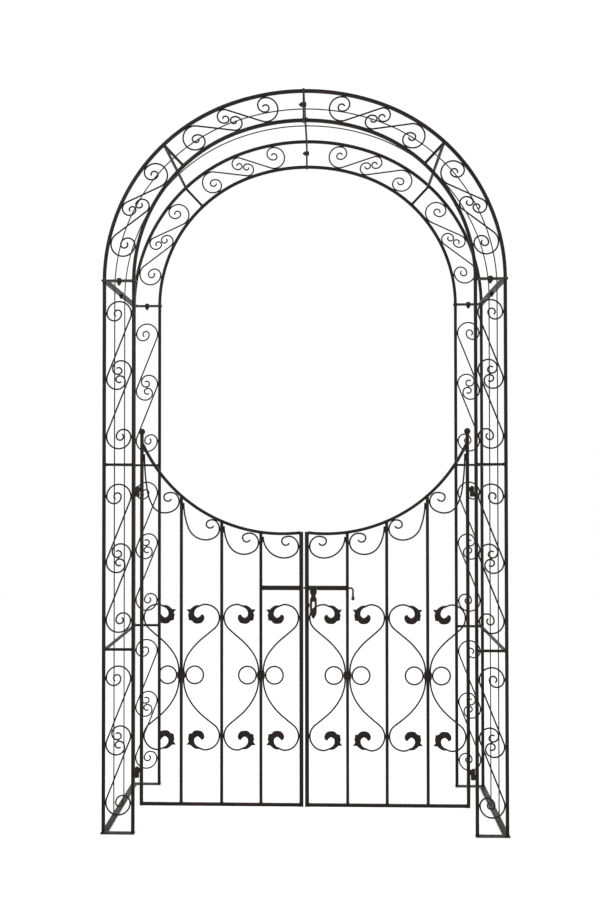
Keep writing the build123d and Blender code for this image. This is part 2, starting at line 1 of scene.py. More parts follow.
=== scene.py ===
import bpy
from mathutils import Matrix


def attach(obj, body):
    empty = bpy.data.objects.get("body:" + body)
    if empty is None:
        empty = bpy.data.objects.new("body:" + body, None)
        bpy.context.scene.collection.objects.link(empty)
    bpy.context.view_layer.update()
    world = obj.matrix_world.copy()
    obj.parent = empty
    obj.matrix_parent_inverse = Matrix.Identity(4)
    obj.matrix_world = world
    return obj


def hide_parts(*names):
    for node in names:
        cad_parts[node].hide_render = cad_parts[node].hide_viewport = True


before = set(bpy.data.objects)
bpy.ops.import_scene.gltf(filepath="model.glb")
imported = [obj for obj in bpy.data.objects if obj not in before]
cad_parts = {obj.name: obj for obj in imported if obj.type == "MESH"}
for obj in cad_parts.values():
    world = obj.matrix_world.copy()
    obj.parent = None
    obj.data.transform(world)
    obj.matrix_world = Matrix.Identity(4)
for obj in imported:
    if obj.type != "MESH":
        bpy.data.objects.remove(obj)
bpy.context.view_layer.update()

import math
import random

import bmesh
import bpy
import numpy as np
from mathutils import Matrix, Vector, noise

MM = 0.001

# ---------------------------------------------------------------- sizes (mm), as the frame has them
POST, STRIP_T, STRIP_W = 10.0, 3.0, 20.0
X_OUT, X_IN, GAP = 610.0, 520.0, 90.0
SPRING = 1680.0
RUNG, RUNG_Z = 8.0, (556.0, 1118.0)
WIRE, ROD_R = 2.5, 2.0
ROD_Y = (-80.0, 80.0)
YF, YR = -240.0, 240.0
RISE, ARC_C, ARC_TH, BRACE_PHI = 578.0, 38.9, 70.0, 46.0
ARC_E = ARC_C * math.tan(math.radians(ARC_TH))
R1 = X_OUT - ARC_C
R2 = R1 + math.hypot(ARC_C, ARC_E)
APEX = SPRING - ARC_E + R2
ZBOLT = APEX - GAP / 2 + 3.5
OVER = 2.5
X_EDGE = X_OUT + POST / 2 + OVER
XH = (X_OUT + X_IN) / 2
ZT = SPRING - STRIP_T
MEET, MEET_X = 12.0, 8.5
STILE, STILE_X = 10.0, 494.0
BARS_X, BAR, RAIL = (131.0, 250.0, 373.0), 9.0, 9.0
GATE_BOTTOM, STILE_TOP, MEET_TOP = 86.0, 1209.0, 914.0
TOP_CX, TOP_CZ, TOP_R = 66.0, 1376.0, 468.0
BALL_R, BALL_Z = 9.9, 1218.0
HINGE_X, HINGE_Z = 507.5, (169.0, 1020.0)
COLLAR_Z, RING_R = 480.0, 26.5
LATCH_Z, HANDLE_X, HASP_X = 744.0, 148.0, 28.2
X_MEET = MEET_X + MEET / 2
X_HINGE = STILE_X - STILE / 2


# ---------------------------------------------------------------- materials
def metal(name, dark, brown, rub, scale=1.0, rough=(0.34, 0.62), rub_amount=0.35, bump=0.25, metallic=0.15, grain=1.0):
    """Antique finish: near-black coat, drifting brown and olive patches, rubbed spots, fine orange peel."""
    m = bpy.data.materials.new(name)
    m.use_nodes = True
    nt = m.node_tree
    nt.nodes.clear()
    N, L = nt.nodes.new, nt.links.new
    out = N("ShaderNodeOutputMaterial")
    bs = N("ShaderNodeBsdfPrincipled")
    L(bs.outputs[0], out.inputs[0])
    tc = N("ShaderNodeTexCoord")

    def tex(kind, sc, detail=4.0, roughness=0.55, distortion=0.0, stretch=None):
        t = N("ShaderNodeTexNoise")
        t.inputs["Scale"].default_value = sc * scale
        t.inputs["Detail"].default_value = detail
        t.inputs["Roughness"].default_value = roughness
        t.inputs["Distortion"].default_value = distortion
        if stretch:
            mp = N("ShaderNodeMapping")
            mp.inputs["Scale"].default_value = stretch
            L(tc.outputs["Object"], mp.inputs["Vector"])
            L(mp.outputs[0], t.inputs["Vector"])
        else:
            L(tc.outputs["Object"], t.inputs["Vector"])
        return t.outputs["Fac"]

    def ramp(fac, stops):
        r = N("ShaderNodeValToRGB")
        e = r.color_ramp.elements
        e[0].position, e[0].color = stops[0][0], (*stops[0][1], 1)
        e[1].position, e[1].color = stops[-1][0], (*stops[-1][1], 1)
        for p, c in stops[1:-1]:
            n = e.new(p)
            n.color = (*c, 1)
        L(fac, r.inputs[0])
        return r.outputs[0]

    def mix(fac, a, b):
        x = N("ShaderNodeMix")
        x.data_type = "RGBA"
        L(fac, x.inputs[0])
        L(a, x.inputs[6])
        L(b, x.inputs[7])
        return x.outputs[2]

    g = lambda v: (v, v, v)
    patches = tex("n", 5.5, 5.0, 0.6, 0.4)
    streaks = tex("n", 30.0, 3.0, 0.5, 0.0, (1.0, 1.0, 0.12))
    mottle = tex("n", 160.0, 6.0, 0.65)
    peel = tex("n", 900.0, 3.0, 0.5)
    pits = tex("n", 420.0, 8.0, 0.75)
    olive = tuple(0.75 * a + 0.25 * b for a, b in zip(dark, (0.016, 0.016, 0.013)))
    base = ramp(patches, [(0.34, dark), (0.48, olive), (0.60, brown), (0.74, dark)])
    base2 = ramp(streaks, [(0.35, tuple(c * 0.6 for c in dark)), (0.65, tuple(c * 1.35 for c in brown))])
    m1 = N("ShaderNodeMath"); m1.operation = "MULTIPLY"
    L(mottle, m1.inputs[0]); m1.inputs[1].default_value = 0.8
    col = mix(m1.outputs[0], base, base2)
    rubmask = ramp(pits, [(0.56, g(0.0)), (0.72, g(rub_amount))])
    rubcol = ramp(patches, [(0.4, rub), (0.6, tuple(c * 0.55 for c in rub))])
    col = mix(rubmask, col, rubcol)
    L(col, bs.inputs["Base Color"])
    bs.inputs["Metallic"].default_value = metallic
    bs.inputs["IOR"].default_value = 1.5
    bs.inputs["Specular IOR Level"].default_value = 0.13
    rmix = N("ShaderNodeMapRange")
    rmix.inputs["From Min"].default_value = 0.3
    rmix.inputs["From Max"].default_value = 0.7
    rmix.inputs["To Min"].default_value = rough[0]
    rmix.inputs["To Max"].default_value = rough[1]
    L(mottle, rmix.inputs["Value"])
    L(rmix.outputs[0], bs.inputs["Roughness"])
    add = N("ShaderNodeMath"); add.operation = "ADD"
    pm = N("ShaderNodeMath"); pm.operation = "MULTIPLY"
    L(pits, pm.inputs[0]); pm.inputs[1].default_value = 1.6 * grain
    L(peel, add.inputs[0]); L(pm.outputs[0], add.inputs[1])
    b = N("ShaderNodeBump")
    b.inputs["Strength"].default_value = bump
    b.inputs["Distance"].default_value = 0.0004
    L(add.outputs[0], b.inputs["Height"])
    L(b.outputs[0], bs.inputs["Normal"])
    return m


MATS = {
    "square_tube": metal("tube_paint", (0.0042, 0.0038, 0.0038), (0.012, 0.0072, 0.0068), (0.060, 0.028, 0.022), 1.0),
    # flat_strip: the same near-black paint as the tubes, but its colours are raised about threefold as painted
    # highlight, standing in for the light that falls on the strips' upward faces
    "flat_strip": metal("strip_paint_with_painted_highlight", (0.013, 0.0122, 0.0116), (0.028, 0.021, 0.018), (0.10, 0.075, 0.06), 1.3, rub_amount=0.4),
    "thin_rods": metal("rod_paint", (0.016, 0.0152, 0.0146), (0.032, 0.026, 0.023), (0.10, 0.078, 0.066), 1.4),
    "scroll_wire": metal("wire_paint", (0.0042, 0.0038, 0.0038), (0.012, 0.0076, 0.0070), (0.055, 0.028, 0.022), 1.7),
    "cast_ornament": metal("casting_paint", (0.0038, 0.0034, 0.0034), (0.013, 0.0068, 0.0060), (0.105, 0.045, 0.032), 3.0,
                           rough=(0.32, 0.58), rub_amount=0.5, bump=0.5, grain=1.6),
    "hardware": metal("ironwork_paint", (0.0058, 0.0055, 0.0055), (0.016, 0.0105, 0.0095), (0.09, 0.055, 0.044), 2.6,
                      rough=(0.28, 0.55), rub_amount=0.5),
    "fasteners": metal("screw_black", (0.0050, 0.0050, 0.0052), (0.012, 0.0100, 0.0095), (0.085, 0.072, 0.064), 4.0,
                       rough=(0.25, 0.5), rub_amount=0.5, metallic=0.3),
    "weld": metal("weld_paint", (0.0058, 0.0052, 0.0050), (0.017, 0.0100, 0.0085), (0.08, 0.038, 0.028), 3.2,
                  rough=(0.32, 0.6), rub_amount=0.45, bump=0.45, grain=1.8),
}


# ---------------------------------------------------------------- mesh builder
class Geo:
    def __init__(self):
        self.v, self.f = [], []

    def add(self, verts, faces):
        o = len(self.v)
        self.v += [tuple(p) for p in verts]
        self.f += [tuple(i + o for i in f) for f in faces]

    def rings(self, rings, closed=False, caps=True):
        """Skin a list of equal rings of points."""
        n = len(rings[0])
        verts = [p for r in rings for p in r]
        faces = []
        m = len(rings)
        for i in range(m if closed else m - 1):
            a, b = i * n, ((i + 1) % m) * n
            for j in range(n):
                k = (j + 1) % n
                faces.append((a + j, a + k, b + k, b + j))
        if caps and not closed:
            faces.append(tuple(reversed(range(n))))
            faces.append(tuple((m - 1) * n + j for j in range(n)))
        self.add(verts, faces)

    def merge(self, other, mirror=False):
        vs = [(-x, y, z) for x, y, z in other.v] if mirror else other.v
        fs = [tuple(reversed(f)) for f in other.f] if mirror else other.f
        self.add(vs, fs)


def obj_from(geo, name, body, slot, replaces=(), mirror=False, mat=None, sharp=38, weld=0.00002):
    g = Geo()
    g.merge(geo, mirror)
    me = bpy.data.meshes.new(name)
    me.from_pydata([(x * MM, y * MM, z * MM) for x, y, z in g.v], [], g.f)
    bm = bmesh.new()
    bm.from_mesh(me)
    bmesh.ops.remove_doubles(bm, verts=bm.verts, dist=weld)
    bmesh.ops.recalc_face_normals(bm, faces=bm.faces)
    for f in bm.faces:
        f.smooth = True
    lim = math.radians(sharp)
    for e in bm.edges:
        e.smooth = len(e.link_faces) == 2 and e.calc_face_angle(0.0) < lim
    bm.to_mesh(me)
    bm.free()
    me.materials.append(mat or MATS[slot])
    o = bpy.data.objects.new(name, me)
    bpy.context.scene.collection.objects.link(o)
    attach(o, body)
    if replaces:
        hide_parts(*replaces)
    return o


# ---- sections and beams
def rsquare(w, h, r, seg=3):
    """Rounded rectangle w by h, as (a, b) offsets."""
    pts = []
    for cx, cy, a0 in ((1, 1, 0), (-1, 1, 90), (-1, -1, 180), (1, -1, 270)):
        for i in range(seg + 1):
            a = math.radians(a0 + 90 * i / seg)
            pts.append((cx * (w / 2 - r) + r * math.cos(a), cy * (h / 2 - r) + r * math.sin(a)))
    return pts


def beam(g, p0, p1, w, h, a_dir, r=1.0, step=None, seg=3, end_r=0.0):
    """Straight bar with a rounded rectangular section; w lies along a_dir."""
    p0, p1, a = Vector(p0), Vector(p1), Vector(a_dir).normalized()
    t = (p1 - p0).normalized()
    b = t.cross(a).normalized()
    length = (p1 - p0).length
    n = max(1, int(length / step)) if step else 1
    sec = rsquare(w, h, r, seg)
    rings = []
    if end_r:
        sec_s = rsquare(w - 2 * end_r, h - 2 * end_r, max(r - end_r, 0.15), seg)
        rings.append([p0 + a * x + b * y for x, y in sec_s])
        stations = [end_r + (length - 2 * end_r) * i / n for i in range(n + 1)]
    else:
        stations = [length * i / n for i in range(n + 1)]
    for s in stations:
        c = p0 + t * s
        rings.append([c + a * x + b * y for x, y in sec])
    if end_r:
        rings.append([p1 + a * x + b * y for x, y in sec_s])
    g.rings(rings)


def path_beam(g, pts, tans, w, h, r=1.0, seg=3, y_dir=(0, 1, 0)):
    """Bar along a curve in a plane of constant Y: w across the curve, h along Y."""
    sec = rsquare(w, h, r, seg)
    yv = Vector(y_dir)
    rings = []
    for p, t in zip(pts, tans):
        t = Vector(t).normalized()
        a = t.cross(yv).normalized()
        rings.append([Vector(p) + a * x + yv * y for x, y in sec])
    g.rings(rings)


# ---- arcs with directions, in a plane of constant Y
def unit(t):
    n = math.hypot(*t)
    return (t[0] / n, t[1] / n)


def biarc(p0, t0, p1, t1):
    t0, t1 = unit(t0), unit(t1)
    v = (p1[0] - p0[0], p1[1] - p0[1])
    vv = v[0] * v[0] + v[1] * v[1]
    c = unit(v)
    k = 2 * (t0[0] * c[0] + t0[1] * c[1])
    e = (k * c[0] - t0[0], k * c[1] - t0[1])
    if e[0] * t1[0] + e[1] * t1[1] > 1 - 1e-9:
        return [(p0, t0, p1)]
    t = (t0[0] + t1[0], t0[1] + t1[1])
    vt = v[0] * t[0] + v[1] * t[1]
    m = 2 * (1 - (t0[0] * t1[0] + t0[1] * t1[1]))
    d = vv / (2 * vt) if m < 1e-9 else (-vt + math.sqrt(vt * vt + m * vv)) / m
    j = ((p0[0] + p1[0] + d * (t0[0] - t1[0])) / 2, (p0[1] + p1[1] + d * (t0[1] - t1[1])) / 2)
    a = (p0[0] + d * t0[0], p0[1] + d * t0[1])
    b = (p1[0] - d * t1[0], p1[1] - d * t1[1])
    return [(p0, t0, j), (j, unit((b[0] - a[0], b[1] - a[1])), p1)]


def sample(nodes, step_deg=7.0, max_len=12.0):
    """Points and directions along a chain of (point, direction) nodes."""
    P, T = [], []
    for (p0, t0), (p1, t1) in zip(nodes, nodes[1:]):
        for p, t, q in biarc(p0, t0, p1, t1):
            c = (q[0] - p[0], q[1] - p[1])
            length = math.hypot(*c)
            cross = t[0] * c[1] - t[1] * c[0]
            if abs(cross) / length < 1e-5:
                n = max(1, int(length / max_len))
                for i in range(n):
                    P.append((p[0] + c[0] * i / n, p[1] + c[1] * i / n)); T.append(unit(c))
                end_t = unit(c)
            else:
                r = length * length / (2 * cross)
                m = (p[0] - t[1] * r, p[1] + t[0] * r)
                a0 = math.atan2(p[1] - m[1], p[0] - m[0])
                a1 = math.atan2(q[1] - m[1], q[0] - m[0])
                s = (a1 - a0) % (2 * math.pi) if r > 0 else -((a0 - a1) % (2 * math.pi))
                n = max(1, int(math.ceil(max(abs(math.degrees(s)) / step_deg, abs(s * r) / max_len))))
                for i in range(n):
                    a = a0 + s * i / n
                    P.append((m[0] + abs(r) * math.cos(a), m[1] + abs(r) * math.sin(a)))
                    sg = 1 if s > 0 else -1
                    T.append((-math.sin(a) * sg, math.cos(a) * sg))
                sg = 1 if s > 0 else -1
                end_t = (-math.sin(a1) * sg, math.cos(a1) * sg)
    P.append(tuple(nodes[-1][0])); T.append(end_t)
    return P, T


def wire(g, nodes, y, r=WIRE, seg=14, step=7.0, cap=0.55, flat_y=1.0, radius=None):
    """Round wire with softened ends. radius, if given, is a function of distance along it."""
    P, T = sample(nodes, step)
    rings = []
    d, dist = 0.0, [0.0]
    for a, b in zip(P, P[1:]):
        d += math.hypot(b[0] - a[0], b[1] - a[1]); dist.append(d)

    def ring(p, t, rr):
        n = (-t[1], t[0])
        return [(p[0] + rr * math.cos(2 * math.pi * k / seg) * n[0], y + flat_y * rr * math.sin(2 * math.pi * k / seg),
                 p[1] + rr * math.cos(2 * math.pi * k / seg) * n[1]) for k in range(seg)]
    rr = [radius(s, d) if radius else r for s in dist]
    first, last = (P[0], T[0], rr[0]), (P[-1], T[-1], rr[-1])
    for f, sg, (p, t, q) in (("a", 1, first),):
        rings.append(ring((p[0], p[1]), t, q * (1 - cap)))
        rings.append(ring((p[0] + t[0] * q * 0.12, p[1] + t[1] * q * 0.12), t, q * (1 - cap * 0.35)))
        rings.append(ring((p[0] + t[0] * q * 0.4, p[1] + t[1] * q * 0.4), t, q))
    for p, t, q, s in zip(P, T, rr, dist):
        if s > first[2] * 0.45 and s < d - last[2] * 0.45:
            rings.append(ring(p, t, q))
    p, t, q = last
    rings.append(ring((p[0] - t[0] * q * 0.4, p[1] - t[1] * q * 0.4), t, q))
    rings.append(ring((p[0] - t[0] * q * 0.12, p[1] - t[1] * q * 0.12), t, q * (1 - cap * 0.35)))
    rings.append(ring((p[0], p[1]), t, q * (1 - cap)))
    g.rings(rings)


def rod(g, p0, p1, r, seg=14, end=0.4):
    p0, p1 = Vector(p0), Vector(p1)
    t = (p1 - p0).normalized()
    a = t.orthogonal().normalized()
    b = t.cross(a)
    L = (p1 - p0).length
    st = [(0, r - end), (end, r), (L - end, r), (L, r - end)] if end else [(0, r), (L, r)]
    g.rings([[p0 + t * s + (a * math.cos(2 * math.pi * k / seg) + b * math.sin(2 * math.pi * k / seg)) * q
              for k in range(seg)] for s, q in st])


def lathe(g, origin, axis, prof, seg=32):
    """Turned shape: prof is (distance along axis, radius); zero radii make poles."""
    o, t = Vector(origin), Vector(axis).normalized()
    a = t.orthogonal().normalized()
    b = t.cross(a)
    rings = []
    for s, r in prof:
        r = max(r, 0.02)
        rings.append([o + t * s + (a * math.cos(2 * math.pi * k / seg) + b * math.sin(2 * math.pi * k / seg)) * r
                      for k in range(seg)])
    g.rings(rings)


def pipe(g, origin, axis, r_out, r_in, length, ch=0.5, seg=36):
    """Short tube with chamfered ends."""
    o, t = Vector(origin), Vector(axis).normalized()
    a = t.orthogonal().normalized()
    b = t.cross(a)
    prof = [(0, r_in + ch * 0.4), (0, r_out - ch), (ch, r_out), (length - ch, r_out), (length, r_out - ch),
            (length, r_in + ch * 0.4), (length - ch * 0.4, r_in), (ch * 0.4, r_in)]
    g.rings([[o + t * s + (a * math.cos(2 * math.pi * k / seg) + b * math.sin(2 * math.pi * k / seg)) * r
              for s, r in prof] for k in range(seg)], closed=True)


# ---- weld beads
def bead_path(g, pts, r=1.5, seg=8, seed=0, closed=True, lump=0.28, pitch=2.2):
    """A lumpy weld bead along a closed or open chain of points."""
    pts = [Vector(p) for p in pts]
    n = len(pts)
    rnd = random.Random(seed)
    ph = rnd.random() * 9
    rings = []
    dist = 0.0
    for i, p in enumerate(pts):
        if closed:
            t = (pts[(i + 1) % n] - pts[i - 1]).normalized()
        else:
            t = (pts[min(i + 1, n - 1)] - pts[max(i - 1, 0)]).normalized()
        if i:
            dist += (p - pts[i - 1]).length
        a = t.orthogonal().normalized()
        b = t.cross(a)
        rr = r * (1 + lump * math.sin(dist * 2 * math.pi / pitch + ph) * 0.5 + lump * noise.noise(p * 0.35 + Vector((ph, 0, 0))))
        if not closed:
            e = min(i, n - 1 - i) / max(1, (n - 1) / 2)
            rr *= max(0.12, math.sin(min(1.0, e * 1.15) * math.pi / 2)) if e < 0.9 else 1.0
        rings.append([p + (a * math.cos(2 * math.pi * k / seg) + b * math.sin(2 * math.pi * k / seg)) * rr for k in range(seg)])
    g.rings(rings, closed=closed)


def bead_square(g, c, axis, w, h, a_dir, r=1.4, seed=0):
    """Weld bead round a rectangular bar where it meets a face."""
    c, t, a = Vector(c), Vector(axis).normalized(), Vector(a_dir).normalized()
    b = t.cross(a)
    sec = rsquare(w, h, min(w, h) * 0.18, 2)
    pts = []
    for (x0, y0), (x1, y1) in zip(sec, sec[1:] + sec[:1]):
        m = max(1, int(math.hypot(x1 - x0, y1 - y0) / 1.1))
        for i in range(m):
            x, y = x0 + (x1 - x0) * i / m, y0 + (y1 - y0) * i / m
            pts.append(c + a * x + b * y)
    bead_path(g, pts, r=r, seed=seed)


def tack(g, c, along, length=9.0, r=1.9, seed=0, squash=1.0):
    """Short tack weld lying in a line of contact."""
    c, t = Vector(c), Vector(along).normalized()
    n = 9
    pts = [c + t * (length * (i / (n - 1) - 0.5)) for i in range(n)]
    bead_path(g, pts, r=r * squash, seed=seed, closed=False, seg=9)


# ---------------------------------------------------------------- arch curve
def arch_point(dr, a_deg, y):
    """Point and direction of the outer centre line moved out by dr. a from 0 (foot) to 90 (crown)."""
    a = math.radians(a_deg)
    if a_deg <= ARC_TH:
        c, r = (ARC_C, SPRING), R1 + dr
    else:
        c, r = (0.0, SPRING - ARC_E), R2 + dr
    return (c[0] + r * math.cos(a), y, c[1] + r * math.sin(a)), (-math.sin(a), 0, math.cos(a))


def arch_line(dr, y, z0, x0, step=1.5):
    a0 = math.degrees(math.asin((z0 - SPRING) / (R1 + dr)))
    a1 = math.degrees(math.acos(x0 / (R2 + dr)))
    n = int((a1 - a0) / step)
    al = sorted(set([a0 + (a1 - a0) * i / n for i in range(n + 1)] + [ARC_TH - 0.001, ARC_TH + 0.001]))
    P, T = zip(*[arch_point(dr, a, y) for a in al])
    return list(P), list(T)


def mid_frame(phi):
    phi = math.radians(phi)
    r1, r2 = R1 - GAP / 2, R2 - GAP / 2
    s, c = math.sin(phi), math.cos(phi)
    t = -c * ARC_E + math.sqrt((c * ARC_E) ** 2 - (ARC_E ** 2 - r2 * r2))
    x, z = t * s, t * c
    if math.atan2(z + ARC_E, x) < math.radians(ARC_TH):
        t = s * ARC_C + math.sqrt((s * ARC_C) ** 2 - (ARC_C ** 2 - r1 * r1))
        x, z = t * s, t * c
        n = unit((x - ARC_C, z))
    else:
        n = unit((x, z + ARC_E))
    return (x, SPRING + z), (-n[0], -n[1]), (-n[1], n[0])


# ---------------------------------------------------------------- S scrolls
def place(fr, u, v):
    (px, pz), un, vn = fr
    return (px + u * un[0] + v * vn[0], pz + u * un[1] + v * vn[1])


def turn(fr, u, v):
    _, un, vn = fr
    return (u * un[0] + v * vn[0], u * un[1] + v * vn[1])


def flip(fr):
    p, u, v = fr
    return (p, (-u[0], -u[1]), (-v[0], -v[1]))


LEG_SMALL = (-12.8, 31.0, -6.4, [((19.3, -7.0), (0, 1)), ((4.0, 10.3), (-1, 0)), ((-8.9, 0.0), (0, -1)),
                                 ((0.5, -10.0), (1, 0)), ((7.5, -7.0), (0.7, 0.7))])
ARCH_SMALL = (-11.8, 21.0, -16.4, [((4.6, 0.0), (0, 1)), ((-5.7, 10.3), (-1, 0)), ((-16.0, 0.0), (0, -1)),
                                   ((-9.7, -6.3), (1, 0))])


def s_nodes(big, small, big_v, end):
    n = []
    small_v, small_r, small_u, curl = end
    b = lambda u, v, tu, tv: n.append((place(big, u, big_v + v), turn(big, tu, tv)))
    s = lambda u, v, tu, tv: n.append((place(small, u, small_v + v), turn(small, tu, tv)))
    a = math.radians(250)
    b(-6.4 + 8 * math.cos(a), 8 * math.sin(a), math.sin(a), -math.cos(a))
    b(-14.4, 0, 0, 1)
    b(-3.5, 10.9, 1, 0)
    b(7.4, 0, 0, -1)
    b(-14.6, -22, -1, 0)
    b(-36.6, 0, 0, 1)
    b(0.4, 37, 1, 0)
    c1, c2 = place(big, 0.4, big_v), place(small, small_u, small_v)
    d = (c2[0] - c1[0], c2[1] - c1[1])
    _, un, vn = big
    hand = 1 if un[0] * vn[1] - un[1] * vn[0] > 0 else -1
    th = math.atan2(d[1], d[0]) - hand * math.asin((37 + small_r) / math.hypot(*d))
    t = (math.cos(th), math.sin(th))
    nr = (hand * t[1], -hand * t[0])
    n.append(((c1[0] - 37 * nr[0], c1[1] - 37 * nr[1]), t))
    n.append(((c2[0] + small_r * nr[0], c2[1] + small_r * nr[1]), t))
    s(small_u, -small_r, 1, 0)
    for (u, v), (tu, tv) in curl:
        s(u, v, tu, tv)
    return n


def leg_pair(zc):
    f = ((XH, zc), (-1.0, 0.0), (0.0, 1.0))
    return [(g, g, s_nodes(g, g, 188.0, LEG_SMALL), 188.0, LEG_SMALL[0]) for g in (f, flip(f))]


def arch_pair(a, b, c):
    top, mid, low = mid_frame(a), mid_frame(b), mid_frame(c)
    return [(top, mid, s_nodes(top, mid, 0.0, ARCH_SMALL), 0.0, ARCH_SMALL[0]),
            (flip(low), flip(mid), s_nodes(flip(low), flip(mid), 0.0, ARCH_SMALL), 0.0, ARCH_SMALL[0])]


def scroll_set(pairs, y, geo, welds, seed):
    for i, (big, small, nodes, bv, sv) in enumerate(pairs):
        wire(geo, nodes, y)
        # tacks where the wire meets the tubes on both sides
        for fr, u, v in ((big, 40.0, bv), (big, -39.6, bv), (small, -40.0, sv)):
            p, t = place(fr, u, v), turn(fr, 0, 1)
            tack(welds, (p[0], y, p[1]), (t[0], 0, t[1]), 11.0, 1.7, seed + 7 * i + int(abs(u)))


# ---------------------------------------------------------------- flat plates with holes, from filled outlines
def plate_obj(name, outlines, thickness, matrix, bevel=0.35):
    """Filled 2D outlines (lists of points, the first is the outside) given thickness and softened edges."""
    cu = bpy.data.curves.new(name, "CURVE")
    cu.dimensions = "2D"
    cu.fill_mode = "BOTH"
    cu.extrude = (thickness / 2 - bevel) * MM
    cu.bevel_depth = bevel * MM
    cu.bevel_resolution = 1
    cu.offset = -bevel * MM
    for pts in outlines:
        sp = cu.splines.new("POLY")
        sp.points.add(len(pts) - 1)
        for q, (x, y) in zip(sp.points, pts):
            q.co = (x * MM, y * MM, 0, 1)
        sp.use_cyclic_u = True
    o = bpy.data.objects.new(name + "_c", cu)
    bpy.context.scene.collection.objects.link(o)
    bpy.context.view_layer.update()
    me = bpy.data.meshes.new_from_object(o.evaluated_get(bpy.context.evaluated_depsgraph_get()))
    vs = [tuple(matrix @ (v.co / MM)) for v in me.vertices]
    fs = [tuple(p.vertices) for p in me.polygons]
    bpy.data.objects.remove(o)
    bpy.data.curves.remove(cu)
    bpy.data.meshes.remove(me)
    g = Geo()
    g.add(vs, fs)
    return g


def circle(cx, cy, r, n=28):
    return [(cx + r * math.cos(2 * math.pi * k / n), cy + r * math.sin(2 * math.pi * k / n)) for k in range(n)]


def rect(x0, x1, y0, y1, n=1):
    return [(x0, y0), (x1, y0), (x1, y1), (x0, y1)]


def plane_m(origin, x, y):
    x, y = Vector(x), Vector(y)
    z = x.cross(y)
    return Matrix(((x.x, y.x, z.x, origin[0]), (x.y, y.y, z.y, origin[1]), (x.z, y.z, z.z, origin[2]), (0, 0, 0, 1)))


def flat_strips(z, xi):
    """Front, rear and side strip of one joint, centred at height z."""
    g = Geo()
    m = plane_m((0, 0, z), (1, 0, 0), (0, 1, 0))
    r = 3.5 if z < 10 else 4.5
    g.merge(plate_obj("p", [rect(xi, X_EDGE, -250, -230), circle(XH, YF, r)], STRIP_T, m))
    g.merge(plate_obj("p", [rect(xi, X_EDGE, 230, 250), circle(XH, YR, r)], STRIP_T, m))
    g.merge(plate_obj("p", [rect(X_EDGE - STRIP_W, X_EDGE, -230, 230), circle(X_EDGE - 10, 0, r)], STRIP_T, m))
    return g


